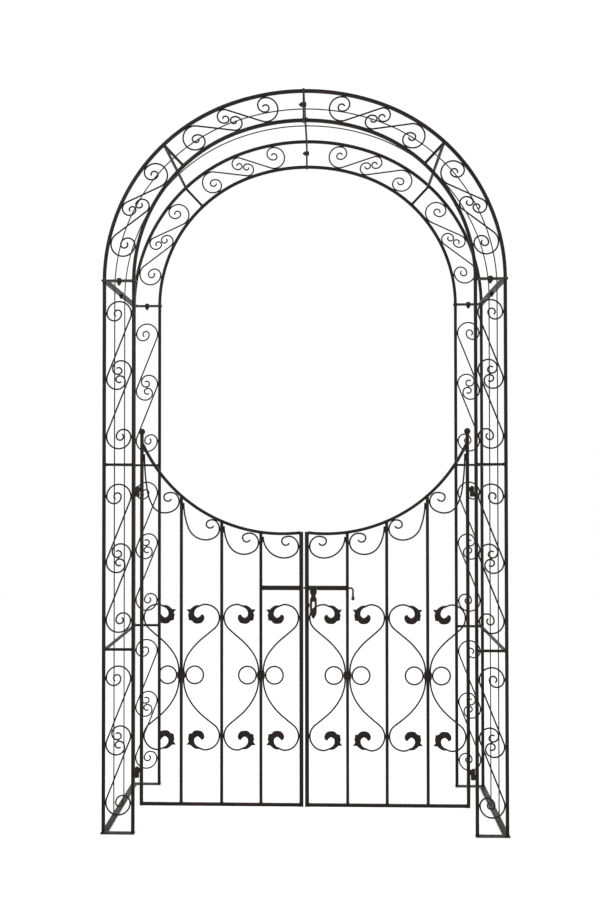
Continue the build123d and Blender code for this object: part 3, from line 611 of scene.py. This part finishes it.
# ================================================================ the frame
SIDES = (("right", False), ("left", True))
for side, mir in SIDES:
    # posts
    for nm, x, y in (("front_outer_post", X_OUT, YF), ("front_inner_post", X_IN, YF),
                     ("rear_outer_post", X_OUT, YR), ("rear_inner_post", X_IN, YR)):
        g = Geo()
        beam(g, (x, y, STRIP_T), (x, y, ZT), POST, POST, (1, 0, 0), 1.3, step=60)
        obj_from(g, side + "_" + nm + "_tube", "root", "square_tube", [side + "_" + nm], mir)
    # rungs and side rails
    g, w = Geo(), Geo()
    for z in RUNG_Z:
        for y in (YF, YR):
            beam(g, (X_IN + 5, y, z), (X_OUT - 5, y, z), RUNG, RUNG, (0, 0, 1), 0.9, step=20)
            for x, s in ((X_IN + 5, 1), (X_OUT - 5, -1)):
                bead_square(w, (x + s * 0.3, y, z), (1, 0, 0), RUNG, RUNG, (0, 0, 1), 1.3, int(z + x + y))
        beam(g, (X_OUT - 4, YF + 5, z), (X_OUT - 4, YR - 5, z), RUNG, RUNG, (1, 0, 0), 0.9, step=40)
        for y, s in ((YF + 5, 1), (YR - 5, -1)):
            bead_square(w, (X_OUT - 4, y + s * 0.3, z), (0, 1, 0), RUNG, RUNG, (1, 0, 0), 1.2, int(z + y))
    obj_from(g, side + "_rungs_bars", "root", "square_tube", [side + "_leg_rungs"], mir)
    # strips
    obj_from(flat_strips(STRIP_T / 2, X_IN - 5), side + "_foot_strips", "root", "flat_strip", [side + "_base_strips"], mir)
    obj_from(flat_strips(SPRING - STRIP_T / 2, X_IN - 7.5), side + "_leg_cap_strips", "root", "flat_strip", [side + "_leg_top_strips"], mir)
    g = flat_strips(SPRING + STRIP_T / 2, X_IN - 7.5)
    z0, z1 = APEX - GAP - 5.5, APEX + 5.5
    m = plane_m((STRIP_T / 2, 0, 0), (0, 1, 0), (0, 0, 1))
    g.merge(plate_obj("p", [rect(-250, -230, z0, z1), circle(YF, ZBOLT, 4.5)], STRIP_T, m))
    g.merge(plate_obj("p", [rect(230, 250, z0, z1), circle(YR, ZBOLT, 4.5)], STRIP_T, m))
    g.merge(plate_obj("p", [rect(-230, 230, z1 - 20, z1), circle(0, z1 - 10, 4.5)], STRIP_T, m))
    obj_from(g, side + "_arch_strips", "root", "flat_strip", [side + "_arch_end_strips"], mir)
    # post welds at feet and caps
    for x in (X_OUT, X_IN):
        for y in (YF, YR):
            bead_square(w, (x, y, STRIP_T + 0.3), (0, 0, 1), POST, POST, (1, 0, 0), 1.3, int(x + y))
            bead_square(w, (x, y, ZT - 0.3), (0, 0, 1), POST, POST, (1, 0, 0), 1.3, int(x + y + 1))
            bead_square(w, (x, y, SPRING + STRIP_T + 0.3), (0, 0, 1), POST, POST, (1, 0, 0), 1.3, int(x + y + 2))
    # rods
    g = Geo()
    for y in ROD_Y:
        rod(g, (X_OUT + ROD_R, y, STRIP_T), (X_OUT + ROD_R, y, ZT), ROD_R, end=0)
        for z in (STRIP_T, ZT):
            bead_path(w, [(X_OUT + ROD_R + 2.1 * math.cos(k * math.pi / 5), y + 2.1 * math.sin(k * math.pi / 5), z + (0.3 if z < 100 else -0.3))
                          for k in range(10)], 1.0, seed=int(y + z))
        for z in RUNG_Z:
            tack(w, (X_OUT + 0.2, y - 2.0, z), (0, 0, 1), 7, 1.2, int(y + z))
            tack(w, (X_OUT + 0.2, y + 2.0, z), (0, 0, 1), 7, 1.2, int(y + z + 3))
    obj_from(g, side + "_upright_rods", "root", "thin_rods", [side + "_side_rods"], mir)
    # leg scrolls
    g = Geo()
    for y in (YF, YR):
        for k, zc in enumerate((280.5, 833.0, 1391.5)):
            scroll_set(leg_pair(zc), y, g, w, 100 * k + int(y))
            tack(w, (XH, y, zc), (1, 0, 0), 6.0, 1.5, 9 * k + int(y))
    obj_from(g, side + "_leg_scroll_wires", "root", "scroll_wire", [side + "_leg_scrolls"], mir)
    # arch
    for y, fr in ((YF, "front"), (YR, "rear")):
        g = Geo()
        for dr in (0, -GAP):
            P, T = arch_line(dr, y, SPRING + STRIP_T, STRIP_T)
            path_beam(g, P, T, POST, POST, 1.3)
            bead_square(w, (STRIP_T + 0.3, y, P[-1][2]), (1, 0, 0), POST, POST, (0, 0, 1), 1.2 if dr else 0.3, int(y + dr))
        obj_from(g, side + "_" + fr + "_arch_bows", "root", "square_tube", [side + "_" + fr + "_arch_tubes"], mir)
        g = Geo()
        scroll_set(arch_pair(12.5, 24.7, 37.2) + arch_pair(54.6, 66.3, 78.5), y, g, w, 31 + int(y))
        obj_from(g, side + "_" + fr + "_arch_scroll_wires", "root", "scroll_wire", [side + "_" + fr + "_arch_scrolls"], mir)
    (bx, bz), bn, bt = mid_frame(BRACE_PHI)
    out = Vector((-bn[0], 0, -bn[1]))
    c = Vector((bx, 0, bz))
    g = Geo()
    for y in (YF, YR):
        p = c + Vector((0, y, 0))
        beam(g, p - out * 40, p + out * 40, RUNG, RUNG, (0, 1, 0), 0.9, step=20)
        for s in (-1, 1):
            bead_square(w, p + out * (s * 39.6), out, RUNG, RUNG, (0, 1, 0), 1.3, int(y + s))
    s0, s1 = c + out * 41 + Vector((0, YF + 5, 0)), c + out * 41 + Vector((0, YR - 5, 0))
    beam(g, s0, s1, RUNG, RUNG, out, 0.9, step=40)
    for p, s in ((s0, 1), (s1, -1)):
        bead_square(w, p + Vector((0, s * 0.3, 0)), (0, 1, 0), RUNG, RUNG, out, 1.2, int(p.y))
    obj_from(g, side + "_brace_bars", "root", "square_tube", [side + "_arch_braces"], mir)
    g = Geo()
    for y in ROD_Y:
        P, T = arch_line(ROD_R, y, SPRING + STRIP_T, STRIP_T)
        rings = []
        for p, t in zip(P, T):
            n = Vector((t[2], 0, -t[0]))
            rings.append([Vector(p) + (n * math.cos(2 * math.pi * k / 14) + Vector((0, 1, 0)) * math.sin(2 * math.pi * k / 14)) * ROD_R for k in range(14)])
        g.rings(rings)
        for q in (P[0], P[-1]):
            ax = (0, 0, 1) if q is P[0] else (1, 0, 0)
            o = Vector(q)
            a, b = (Vector((1, 0, 0)), Vector((0, 1, 0))) if q is P[0] else (Vector((0, 1, 0)), Vector((0, 0, 1)))
            bead_path(w, [o + (a * math.cos(k * math.pi / 5) + b * math.sin(k * math.pi / 5)) * 2.1 for k in range(10)], 1.0, seed=int(y))
        tack(w, c + out * 45.2 + Vector((0, y - 2, 0)), (bt[0], 0, bt[1]), 7, 1.2, int(y))
        tack(w, c + out * 45.2 + Vector((0, y + 2, 0)), (bt[0], 0, bt[1]), 7, 1.2, int(y + 2))
    obj_from(g, side + "_roof_rod_bows", "root", "thin_rods", [side + "_roof_rods"], mir)
    obj_from(w, side + "_frame_welds", "root", "weld", (), mir, mat=MATS["weld"], sharp=80)


# ---------------------------------------------------------------- screws and nuts
def hexhead(g, o, d, af, h, dome=True):
    """Hexagon head with turned corners: o is the seat, d points away from it."""
    o, t = Vector(o), Vector(d).normalized()
    a = t.orthogonal().normalized()
    b = t.cross(a)
    R = af / 2
    seg = 48
    rings = []

    def ring(s, lim):
        pts = []
        for k in range(seg):
            an = 2 * math.pi * k / seg
            hexr = R / math.cos((an % (math.pi / 3)) - math.pi / 6)
            r = min(hexr, lim) if lim else hexr
            pts.append(o + t * s + (a * math.cos(an) + b * math.sin(an)) * r)
        return pts
    rings = [ring(0, R * 1.02), ring(0.12 * h, R * 1.13), ring(0.16 * h, None), ring(0.80 * h, None), ring(0.9 * h, R * 1.08), ring(h, R * 0.95)]
    if dome:
        rings.append([o + t * (h + 0.02) + (a * math.cos(2 * math.pi * k / seg) + b * math.sin(2 * math.pi * k / seg)) * (R * 0.80) for k in range(seg)])
        rings.append([o + t * (h - 0.25) + (a * math.cos(2 * math.pi * k / seg) + b * math.sin(2 * math.pi * k / seg)) * (R * 0.72) for k in range(seg)])
        rings.append([o + t * (h - 0.25) + (a * math.cos(2 * math.pi * k / seg) + b * math.sin(2 * math.pi * k / seg)) * 0.4 for k in range(seg)])
    g.rings(rings)


def thread(g, o, d, r, length, pitch=1.0, seg=24):
    """Threaded stub with a pointed-off end."""
    o, t = Vector(o), Vector(d).normalized()
    a = t.orthogonal().normalized()
    b = t.cross(a)
    n = int(length / pitch * 6)
    rings = []
    for i in range(n + 1):
        s = length * i / n
        pts = []
        for k in range(seg):
            an = 2 * math.pi * k / seg
            ph = (s / pitch - k / seg) * 2 * math.pi
            rr = r - 0.32 * (0.5 + 0.5 * math.cos(ph))
            if s > length - 1.0:
                rr = min(rr, r - 0.9 * (s - (length - 1.0)))
            pts.append(o + t * s + (a * math.cos(an) + b * math.sin(an)) * rr)
        rings.append(pts)
    g.rings(rings)


gs, gn = Geo(), Geo()
zs = APEX + 5.5 - 10
for seat, d, nutp in [((sx * x, y, SPRING + STRIP_T), (0, 0, -1), (sx * x, y, SPRING - STRIP_T))
                      for sx in (1, -1) for x, y in ((XH, YF), (XH, YR), (X_EDGE - 10, 0))] + \
        [((STRIP_T, y, z), (-1, 0, 0), (-STRIP_T, y, z)) for y, z in ((YF, ZBOLT), (YR, ZBOLT), (0, zs))]:
    dv = Vector(d)
    hexhead(gs, seat, -dv, 13.0, 5.3)
    thread(gs, seat, d, 3.95, 17.4)
    hexhead(gn, nutp, dv, 13.0, 6.5, dome=False)
obj_from(gs, "hex_screws", "root", "fasteners", ["frame_screws"], sharp=30)
obj_from(gn, "hex_nuts", "root", "fasteners", ["frame_nuts"], sharp=30)

# ---------------------------------------------------------------- hinge pintles
g = Geo()
wd = Geo()
for z in HINGE_Z:
    pipe(g, (HINGE_X, YF, z), (0, 0, 1), 6.5, 3.9, 14.8, 0.7)
    lathe(g, (HINGE_X, YF, z + 0.6), (0, 0, 1), [(0, 0), (0, 3.9), (31.0, 3.9), (32.0, 3.5), (32.7, 2.4), (32.9, 0)], 28)
    beam(g, (HINGE_X + 4.5, YF, z + 7.4), (X_IN - 5, YF, z + 7.4), 8, 13.6, (0, 1, 0), 0.8)
    for s in (-1, 1):
        tack(wd, (X_IN - 5.2, YF + s * 4.2, z + 7.4), (0, 0, 1), 14.5, 1.5, int(z + s))
for side, mir in SIDES:
    pass
g2, w2 = Geo(), Geo()
g2.merge(g); g2.merge(g, True)
w2.merge(wd); w2.merge(wd, True)
obj_from(g2, "pintle_pins", "root", "hardware", ["hinge_pintles"])
obj_from(w2, "pintle_welds", "root", "weld", (), mat=MATS["weld"], sharp=80)


# ================================================================ gate leaves
def catmull(pts, n):
    """Evenly parameterised Catmull-Rom through tuples."""
    out = []
    m = len(pts)
    for i in range(n + 1):
        x = (m - 1) * i / n
        k = min(int(x), m - 2)
        t = x - k
        p0, p1, p2, p3 = (pts[max(k - 1, 0)], pts[k], pts[k + 1], pts[min(k + 2, m - 1)])
        out.append(tuple(0.5 * ((2 * b) + (-a + c) * t + (2 * a - 5 * b + 4 * c - d) * t * t + (-a + 3 * b - 3 * c + d) * t ** 3)
                         for a, b, c, d in zip(p0, p1, p2, p3)))
    return out


SPINE = [(4.5, 31.0, 2.9), (-5.8, 28.6, 4.9), (-14.0, 21.9, 6.4), (-19.2, 13.5, 8.3), (-20.5, 6.7, 9.1), (-19.5, -1.3, 10.0),
         (-13.4, -7.9, 9.2), (-4.3, -13.2, 9.3), (4.8, -12.4, 9.6), (10.5, -6.0, 8.8), (11.8, 0.5, 6.6), (9.8, 5.2, 1.5)]


def bump_at(s, c, w):
    d = abs(s - c) / w
    return (1 - d) ** 1.3 if d < 1 else 0.0


def acanthus(g, x, z, sgn, up, seed=0):
    """Cast acanthus terminal: a curled, ribbed leaf with a spur and a rolled tip."""
    n, half = 78, 13
    sp = catmull(SPINE, n)
    m = len(SPINE) - 1
    rings = []
    for i, (u, v, w) in enumerate(sp):
        a, b = sp[max(i - 1, 0)], sp[min(i + 1, n)]
        t = unit((b[0] - a[0], b[1] - a[1]))
        nn = (t[1], -t[0])          # to the outside of the curl
        if nn[0] * (u - 2.0) + nn[1] * (v - 2.0) < 0:
            nn = (-nn[0], -nn[1])
        s = m * i / n
        wo = w + 10.0 * bump_at(s, 2.95, 0.48) + 3.8 * bump_at(s, 5.3, 0.4) + 1.1 * bump_at(s, 4.2, 0.45) + 1.0 * bump_at(s, 6.7, 0.5)
        wo -= 1.2 * bump_at(s, 3.75, 0.3) + 1.3 * bump_at(s, 6.0, 0.3) + 0.9 * bump_at(s, 7.6, 0.35)
        wi = w + 0.6 * bump_at(s, 7.0, 0.8)
        th = 3.95 * min(1.0, 0.62 + 0.14 * s) * (1 if s < 10 else max(0.35, 1 - 0.6 * (s - 10)))
        fan = 0.55 + 0.45 * math.cos((s - 2.95) * 1.9)
        ring = []
        for k in range(2 * half):
            front = k < half
            q = k / half if front else (2 * half - k) / half
            tt = -math.cos(math.pi * q)                    # -1 inside edge, +1 outside edge
            off = (wo if tt > 0 else wi) * tt
            hgt = th * max(0.0, 1 - abs(tt) ** 2.6) ** 0.55
            rib = 0.62 * math.cos(tt * math.pi * 3.1 + 0.35 * math.sin(s * 2.4)) * (1 - tt * tt) * min(1.0, s / 1.5)
            lobe = 0.45 * math.sin(s * 5.3 + tt * 2.0) * max(0.0, tt) * fan
            hgt = max(0.05, hgt + rib + lobe) if 0.02 < q < 0.98 else 0.0
            # spur thins towards its point
            if tt > 0 and abs(s - 2.95) < 0.48:
                hgt *= 1 - 0.45 * tt * bump_at(s, 2.95, 0.48)
            uu, vv = u + nn[0] * off, v + nn[1] * off
            ring.append((x + sgn * uu, YF + (-hgt if front else hgt), z + up * vv))
        rings.append(ring)
    if sgn * up < 0:
        rings = [list(reversed(r)) for r in rings]
    g.rings(rings)


def gate_leaf():
    P = {}
    w = Geo()
    g = Geo()
    beam(g, (STILE_X, YF, GATE_BOTTOM), (STILE_X, YF, STILE_TOP + 1), STILE, STILE, (1, 0, 0), 1.3, step=60, end_r=0.5)
    P["hinge_stile"] = g
    g = Geo()
    beam(g, (MEET_X, YF, GATE_BOTTOM), (MEET_X, YF, MEET_TOP), MEET, MEET, (1, 0, 0), 1.5, step=60, end_r=0.6)
    P["meeting_stile"] = g
    g = Geo()
    zb = GATE_BOTTOM + RAIL / 2
    beam(g, (X_MEET, YF, zb), (X_HINGE, YF, zb), RAIL, RAIL, (0, 0, 1), 1.0, step=60)
    a0 = math.asin((X_MEET - 0.5 - TOP_CX) / TOP_R)
    a1 = math.asin((X_HINGE + 0.5 - TOP_CX) / TOP_R)
    pts, tans = [], []
    for i in range(61):
        a = a0 + (a1 - a0) * i / 60
        pts.append((TOP_CX + TOP_R * math.sin(a), YF, TOP_CZ - TOP_R * math.cos(a)))
        tans.append((math.cos(a), 0, math.sin(a)))
    path_beam(g, pts, tans, RAIL, RAIL, 1.0)
    P["rails"] = g
    for x, s in ((X_MEET, 1), (X_HINGE, -1)):
        bead_square(w, (x + s * 0.2, YF, zb), (1, 0, 0), RAIL, RAIL, (0, 0, 1), 1.3, int(x))
    bead_square(w, (X_MEET + 0.3, YF, pts[0][2]), (1, 0, 0), RAIL, RAIL, (0, 0, 1), 1.3, 5)
    bead_square(w, (X_HINGE - 0.6, YF, pts[-1][2] - 1.0), (1, 0, 0), RAIL * 1.25, RAIL, (0, 0, 1), 1.3, 6)
    g = Geo()
    for x in BARS_X:
        zt = TOP_CZ - math.sqrt((TOP_R + RAIL / 2) ** 2 - (x - TOP_CX) ** 2)
        beam(g, (x, YF, GATE_BOTTOM + RAIL - 0.5), (x, YF, zt + 2), BAR, BAR, (1, 0, 0), 0.9, step=60)
        bead_square(w, (x, YF, GATE_BOTTOM + RAIL + 0.2), (0, 0, 1), BAR, BAR, (1, 0, 0), 1.2, int(x))
        sl = (x - TOP_CX) / TOP_R
        nrm = Vector((-sl, 0, math.sqrt(1 - sl * sl)))
        bead_square(w, (x, YF, zt - 0.3), nrm, BAR * 1.02, BAR, (math.sqrt(1 - sl * sl), 0, sl), 1.2, int(x + 9))
    P["bars"] = g
    g = Geo()
    prof = [(-9.0, 0), (-9.0, 5.6), (-8.2, 6.3), (-7.2, 6.2), (-6.6, 5.6)]
    for i in range(1, 24):
        a = math.radians(-48 + 138 * i / 23)
        prof.append((BALL_R * math.sin(a), BALL_R * math.cos(a)))
    lathe(g, (STILE_X, YF, BALL_Z), (0, 0, 1), prof, 40)
    P["finial"] = g
    g = Geo()
    for z in HINGE_Z:
        z += 15
        pipe(g, (HINGE_X, YF, z), (0, 0, 1), 6.5, 4.06, 15, 0.7)
        beam(g, (HINGE_X - 4.6, YF, z + 7.5), (STILE_X + 5, YF, z + 7.5), 8, 13.6, (0, 1, 0), 0.8)
        for s in (-1, 1):
            tack(w, (STILE_X + 5.2, YF + s * 4.2, z + 7.5), (0, 0, 1), 14.5, 1.4, int(z + s))
    P["hinge_eyes"] = g
    # drop scrolls
    g = Geo()
    drops = [
        [((486.3, 1150), (-0.01, -1)), ((477.5, 1040), (-0.16, -0.99)), ((424.4, 971), (-1, 0)), ((380.2, 1006), (0, 1)),
         ((405, 1033), (1, 0)), ((426.5, 1019), (0, -1)), ((415, 1006.5), (-1, 0)), ((404, 1014), (-0.3, 0.95))],
        [((365.9, 1002), (0, -1)), ((298.4, 889), (-1, 0)), ((257.2, 922), (0, 1)), ((280.2, 950), (1, 0)),
         ((297.0, 936), (0, -1)), ((285.5, 925), (-1, 0)), ((275, 932), (-0.3, 0.95))],
        [((242.9, 931), (0, -1)), ((182.4, 845.5), (-1, 0)), ((138.2, 881), (0, 1)), ((165, 909.5), (1, 0)),
         ((186.5, 896), (0, -1)), ((174.5, 883), (-1, 0)), ((164, 890), (-0.3, 0.95))],
        [((123.9, 899), (0, -1)), ((59.5, 834.5), (-1, 0)), ((17.2, 869), (0, 1)), ((46, 900), (1, 0)),
         ((67.5, 886), (0, -1)), ((55.5, 873), (-1, 0)), ((45, 880), (-0.3, 0.95))]]
    for i, n in enumerate(drops):
        wire(g, n, YF)
        (x, z), _ = n[0]
        tack(w, (x + 2.4, YF, z - 12), (0, 0, 1), 20, 1.6, i)
        (x, z), _ = n[-5 if i else -5]
        tack(w, (x - 2.4, YF, z), (0, 0, 1), 10, 1.6, i + 20)
    # bows, rings, collars, leaves
    lv, co = Geo(), Geo()
    g1 = (BARS_X[0], BARS_X[0] - X_MEET, BARS_X[1] - BAR / 2 - BARS_X[0])
    g2 = (BARS_X[2], BARS_X[2] - BARS_X[1] - BAR / 2, X_HINGE - BARS_X[2])
    uw = BAR / 2 + 0.2 + WIRE
    for xb, left, right in (g1, g2):
        for sgn, room in ((-1, left), (1, right)):
            uc = room - WIRE - 0.1
            n = [((53.5, 207.7), (0.93, 0.36)), ((72, 213.5), (1, 0)), ((uc, 174), (0, -1)),
                 ((66.5, 112.5), (-0.78, -0.63)), ((uw, 12), (0, -1)), ((uw, -12), (0, -1)),
                 ((66, -124), (0.77, -0.64)), ((uc, -183), (0, -1)),
                 ((72, -226), (-1, 0)), ((53.5, -220.2), (-0.93, 0.36))]
            wire(g, [((xb + sgn * u, COLLAR_Z + v), (sgn * tu, tv)) for (u, v), (tu, tv) in n], YF)
            for dv in (174, -183):
                tack(w, (xb + sgn * (room - 0.2), YF, COLLAR_Z + dv), (0, 0, 1), 12, 1.8, int(xb + dv))
            cx = xb + sgn * (11.9 + RING_R + WIRE)
            rings = []
            for i in range(64):
                a = 2 * math.pi * i / 64
                e = Vector((math.cos(a), 0, math.sin(a)))
                rings.append([Vector((cx, YF, COLLAR_Z)) + e * (RING_R + WIRE * math.cos(2 * math.pi * k / 14)) + Vector((0, 1, 0)) * WIRE * math.sin(2 * math.pi * k / 14)
                              for k in range(14)])
            g.rings(rings, closed=True)
            tack(w, (xb + sgn * 12.2, YF, COLLAR_Z), (0, 0, 1), 9, 1.8, int(cx))
            acanthus(lv, xb + sgn * 51.0, COLLAR_Z + 177.5, sgn, 1)
            acanthus(lv, xb + sgn * 51.0, COLLAR_Z - 190.0, sgn, -1)
        # collar: a wide wrapped band between two rolled edges
        for z0, hw, hd, hh in ((-7.6, 11.9, 8.0, 4.2), (0.0, 11.1, 7.3, 12.5), (7.6, 11.9, 8.0, 4.2)):
            rings = []
            for dz, k in ((-0.5, 0.80), (-0.42, 0.93), (-0.25, 1.0), (0.25, 1.0), (0.42, 0.93), (0.5, 0.80)):
                sec = rsquare(2 * hw * (0.5 + k / 2), 2 * hd * (0.5 + k / 2), 2.6, 4)
                rings.append([(xb + a, YF + b, COLLAR_Z + z0 + dz * hh) for a, b in sec])
            co.rings(rings)
    P["scrollwork"], P["cast_leaves"], P["collars"] = g, lv, co
    return P, w


parts, gate_welds = gate_leaf()
slots = {"hinge_stile": "square_tube", "meeting_stile": "square_tube", "rails": "square_tube", "bars": "square_tube",
         "finial": "cast_ornament", "hinge_eyes": "hardware", "scrollwork": "scroll_wire", "cast_leaves": "cast_ornament",
         "collars": "cast_ornament"}
for side, mir in SIDES:
    body = side + "_gate"
    for key, geo in parts.items():
        obj_from(geo, "%s_leaf_%s" % (side, key), body, slots[key], ["%s_gate_%s" % (side, key)], mir,
                 sharp=50 if key == "cast_leaves" else 38)
    obj_from(gate_welds, side + "_leaf_welds", body, "weld", (), mir, mat=MATS["weld"], sharp=80)

# ---------------------------------------------------------------- latch
g = Geo()
pipe(g, (-126.5, YF, LATCH_Z), (1, 0, 0), 7.0, 5.5, 112.0, 0.5)
obj_from(g, "keeper_tube", "left_gate", "square_tube", ["latch_keeper_tube"])
g = Geo()
pipe(g, (X_MEET, YF, LATCH_Z), (1, 0, 0), 7.0, 5.5, HASP_X - 10.8 - X_MEET, 0.4)
pipe(g, (HASP_X + 10.8, YF, LATCH_Z), (1, 0, 0), 7.0, 5.5, 126.5 - HASP_X - 10.8, 0.5)
obj_from(g, "bolt_barrel", "right_gate", "square_tube", ["latch_barrel"])
wl, wr = Geo(), Geo()


def ring_bead(w, x, seed):
    bead_path(w, [(x, YF + 6.9 * math.cos(k * math.pi / 14), LATCH_Z + 6.9 * math.sin(k * math.pi / 14)) for k in range(28)], 1.2, seed=seed)


ring_bead(wl, -126.3, 1); ring_bead(wl, -14.7, 2)
ring_bead(wr, 126.3, 3); ring_bead(wr, 14.7, 4)
tack(wr, (X_MEET + 0.2, YF - 3, LATCH_Z - 52), (0, 0, 1), 9, 1.3, 8)
obj_from(wl, "keeper_welds", "left_gate", "weld", (), mat=MATS["weld"], sharp=80)
obj_from(wr, "barrel_welds", "right_gate", "weld", (), mat=MATS["weld"], sharp=80)


def grip(s, total):
    k = total - s
    if k > 20:
        return 2.8
    prof = [(0.0, 0.6), (0.5, 2.0), (1.6, 3.7), (3.2, 4.8), (5.2, 5.2), (7.4, 4.9), (10.0, 4.0), (13.0, 3.1), (16.5, 2.85), (20.0, 2.8)]
    for (a, ra), (b, rb) in zip(prof, prof[1:]):
        if a <= k <= b:
            return ra + (rb - ra) * (k - a) / (b - a)
    return 2.8


g = Geo()
zend = LATCH_Z - 37.6
fine = [((HANDLE_X, LATCH_Z - 8), (0, -1))] + [((HANDLE_X, LATCH_Z - 8 - q), (0, -1)) for q in
                                               [9 + i * 0.8 for i in range(1, 26)] if LATCH_Z - 8 - q > zend + 0.2] + [((HANDLE_X, zend), (0, -1))]
wire(g, [((-1.9, LATCH_Z), (1, 0)), ((HANDLE_X - 8, LATCH_Z), (1, 0))] + fine, YF, r=2.8, seg=20, step=5, radius=grip, cap=0.3)
obj_from(g, "sliding_bolt", "latch_bolt", "hardware", ["latch_bolt"])

# hasp plate with slot, waist and pointed end, hung from an eye
prof = [(-10.4, -4.0), (-10.4, -13.5), (-9.6, -17.0), (-7.4, -20.6), (-6.5, -24.0), (-7.3, -27.0), (-9.4, -30.0), (-10.4, -34.0),
        (-10.4, -68.0), (-10.1, -73.0), (-8.9, -78.5), (-6.6, -84.0), (-3.2, -89.6)]
prof = prof + [(0, -93.4)] + [(-x, z) for x, z in reversed(prof)]
prof = [(HASP_X + x, LATCH_Z + z) for x, z in prof]
slot_pts = [(HASP_X + 3.6 * math.cos(math.radians(a)), LATCH_Z - 44 + 3.6 * math.sin(math.radians(a))) for a in range(0, 181, 15)]
slot_pts += [(HASP_X + 3.6 * math.cos(math.radians(a)), LATCH_Z - 60 + 3.6 * math.sin(math.radians(a))) for a in range(180, 361, 15)]
g = plate_obj("hasp", [prof, slot_pts], 3.4, plane_m((0, YF - 5.1, 0), (1, 0, 0), (0, 0, 1)), 0.6)
pipe(g, (HASP_X - 10.4, YF, LATCH_Z), (1, 0, 0), 7.0, 3.3, 20.8, 0.5)
# raised bud below the slot, with a midrib
rings = []
for i in range(15):
    s = i / 14
    wdt = 4.6 * math.sin(math.pi * min(1.0, s * 1.02)) ** 0.8 + 0.15
    zc = LATCH_Z - 66.5 - 21 * s
    ring = []
    for k in range(16):
        a = math.pi * k / 15
        rib = 0.25 * math.exp(-(math.cos(a) / 0.18) ** 2)
        ring.append((HASP_X + wdt * math.cos(a), YF - 6.55 - (0.5 * math.sin(a) + rib) * math.sin(math.pi * (0.04 + 0.92 * s)), zc))
    ring.append((HASP_X - wdt, YF - 6.0, zc)); ring.append((HASP_X + wdt, YF - 6.0, zc))
    rings.append(ring)
g.rings(rings)
obj_from(g, "hasp_plate", "latch_hasp", "hardware", ["latch_hasp"], sharp=35)
g = Geo()
pipe(g, (X_MEET, YF - 3, LATCH_Z - 52), (1, 0, 0), 6.5, 3.6, 2.6, 1.0)
obj_from(g, "staple_ring", "right_gate", "hardware", ["padlock_staple"])

# ================================================================ stage, light, camera
sc = bpy.context.scene


def stage_mat(name, col, rough, spec):
    m = bpy.data.materials.new(name)
    m.use_nodes = True
    b = m.node_tree.nodes["Principled BSDF"]
    n = m.node_tree.nodes.new("ShaderNodeTexNoise")
    n.inputs["Scale"].default_value = 3.0
    r = m.node_tree.nodes.new("ShaderNodeValToRGB")
    r.color_ramp.elements[0].color = (*[c * 0.995 for c in col], 1)
    r.color_ramp.elements[1].color = (*col, 1)
    m.node_tree.links.new(n.outputs[0], r.inputs[0])
    m.node_tree.links.new(r.outputs[0], b.inputs["Base Color"])
    b.inputs["Roughness"].default_value = rough
    b.inputs["Specular IOR Level"].default_value = spec
    return m


me = bpy.data.meshes.new("floor")
W, D0, D1, RR = 14.0, -9.0, 5.0, 2.5
prof = [(D0, 0.0), (D1, 0.0)] + [(D1 + RR * math.sin(math.radians(a)), RR - RR * math.cos(math.radians(a))) for a in range(6, 91, 6)] + [(D1 + RR, 12.0)]
vs, fs = [], []
for y, z in prof:
    vs += [(-W, y, z - 0.0002), (W, y, z - 0.0002)]
for i in range(len(prof) - 1):
    fs.append((2 * i, 2 * i + 1, 2 * i + 3, 2 * i + 2))
me.from_pydata(vs, [], fs)
for p in me.polygons:
    p.use_smooth = True
floor = bpy.data.objects.new("floor", me)
sc.collection.objects.link(floor)
me.materials.append(stage_mat("floor_white", (0.93, 0.93, 0.93), 0.28, 0.35))

world = bpy.data.worlds.new("studio")
sc.world = world
world.use_nodes = True
bg = world.node_tree.nodes["Background"]
bg.inputs[0].default_value = (1.0, 1.0, 1.0, 1)
bg.inputs[1].default_value = 1.02


def area(name, loc, target, size, power, col=(1, 1, 1)):
    l = bpy.data.lights.new(name, "AREA")
    l.shape = "RECTANGLE"
    l.size, l.size_y = size
    l.energy = power
    l.color = col
    o = bpy.data.objects.new(name, l)
    o.location = loc
    o.rotation_mode = "QUATERNION"
    o.rotation_quaternion = (Vector(target) - Vector(loc)).to_track_quat("-Z", "Y")
    sc.collection.objects.link(o)


area("key", (-2.6, -4.2, 3.6), (0, 0, 1.0), (2.4, 2.4), 130)
area("fill", (3.4, -3.4, 2.2), (0, 0, 1.0), (2.6, 2.6), 70)
area("top", (0, 0.4, 5.2), (0, 0, 0), (4.0, 4.0), 30)
area("back", (0.0, 4.0, 3.2), (0, 0, 1.2), (4.0, 2.0), 10)

cam_d = bpy.data.cameras.new("camera")
cam_d.sensor_width = 36.0
cam_d.lens = 40.218
cam_d.clip_end = 100
cam = bpy.data.objects.new("camera", cam_d)
sc.collection.objects.link(cam)
yaw, pitch, roll = -0.02716, 0.01599, 0.00091
cam.location = (0.07147, -3.31118, 1.1036)
fwd = Vector((math.sin(yaw) * math.cos(pitch), math.cos(yaw) * math.cos(pitch), math.sin(pitch)))
cam.rotation_mode = "QUATERNION"
cam.rotation_quaternion = fwd.to_track_quat("-Z", "Y") @ Matrix.Rotation(-roll, 4, "Z").to_quaternion()
sc.camera = cam
sc.view_settings.view_transform = "Standard"
sc.view_settings.look = "None"
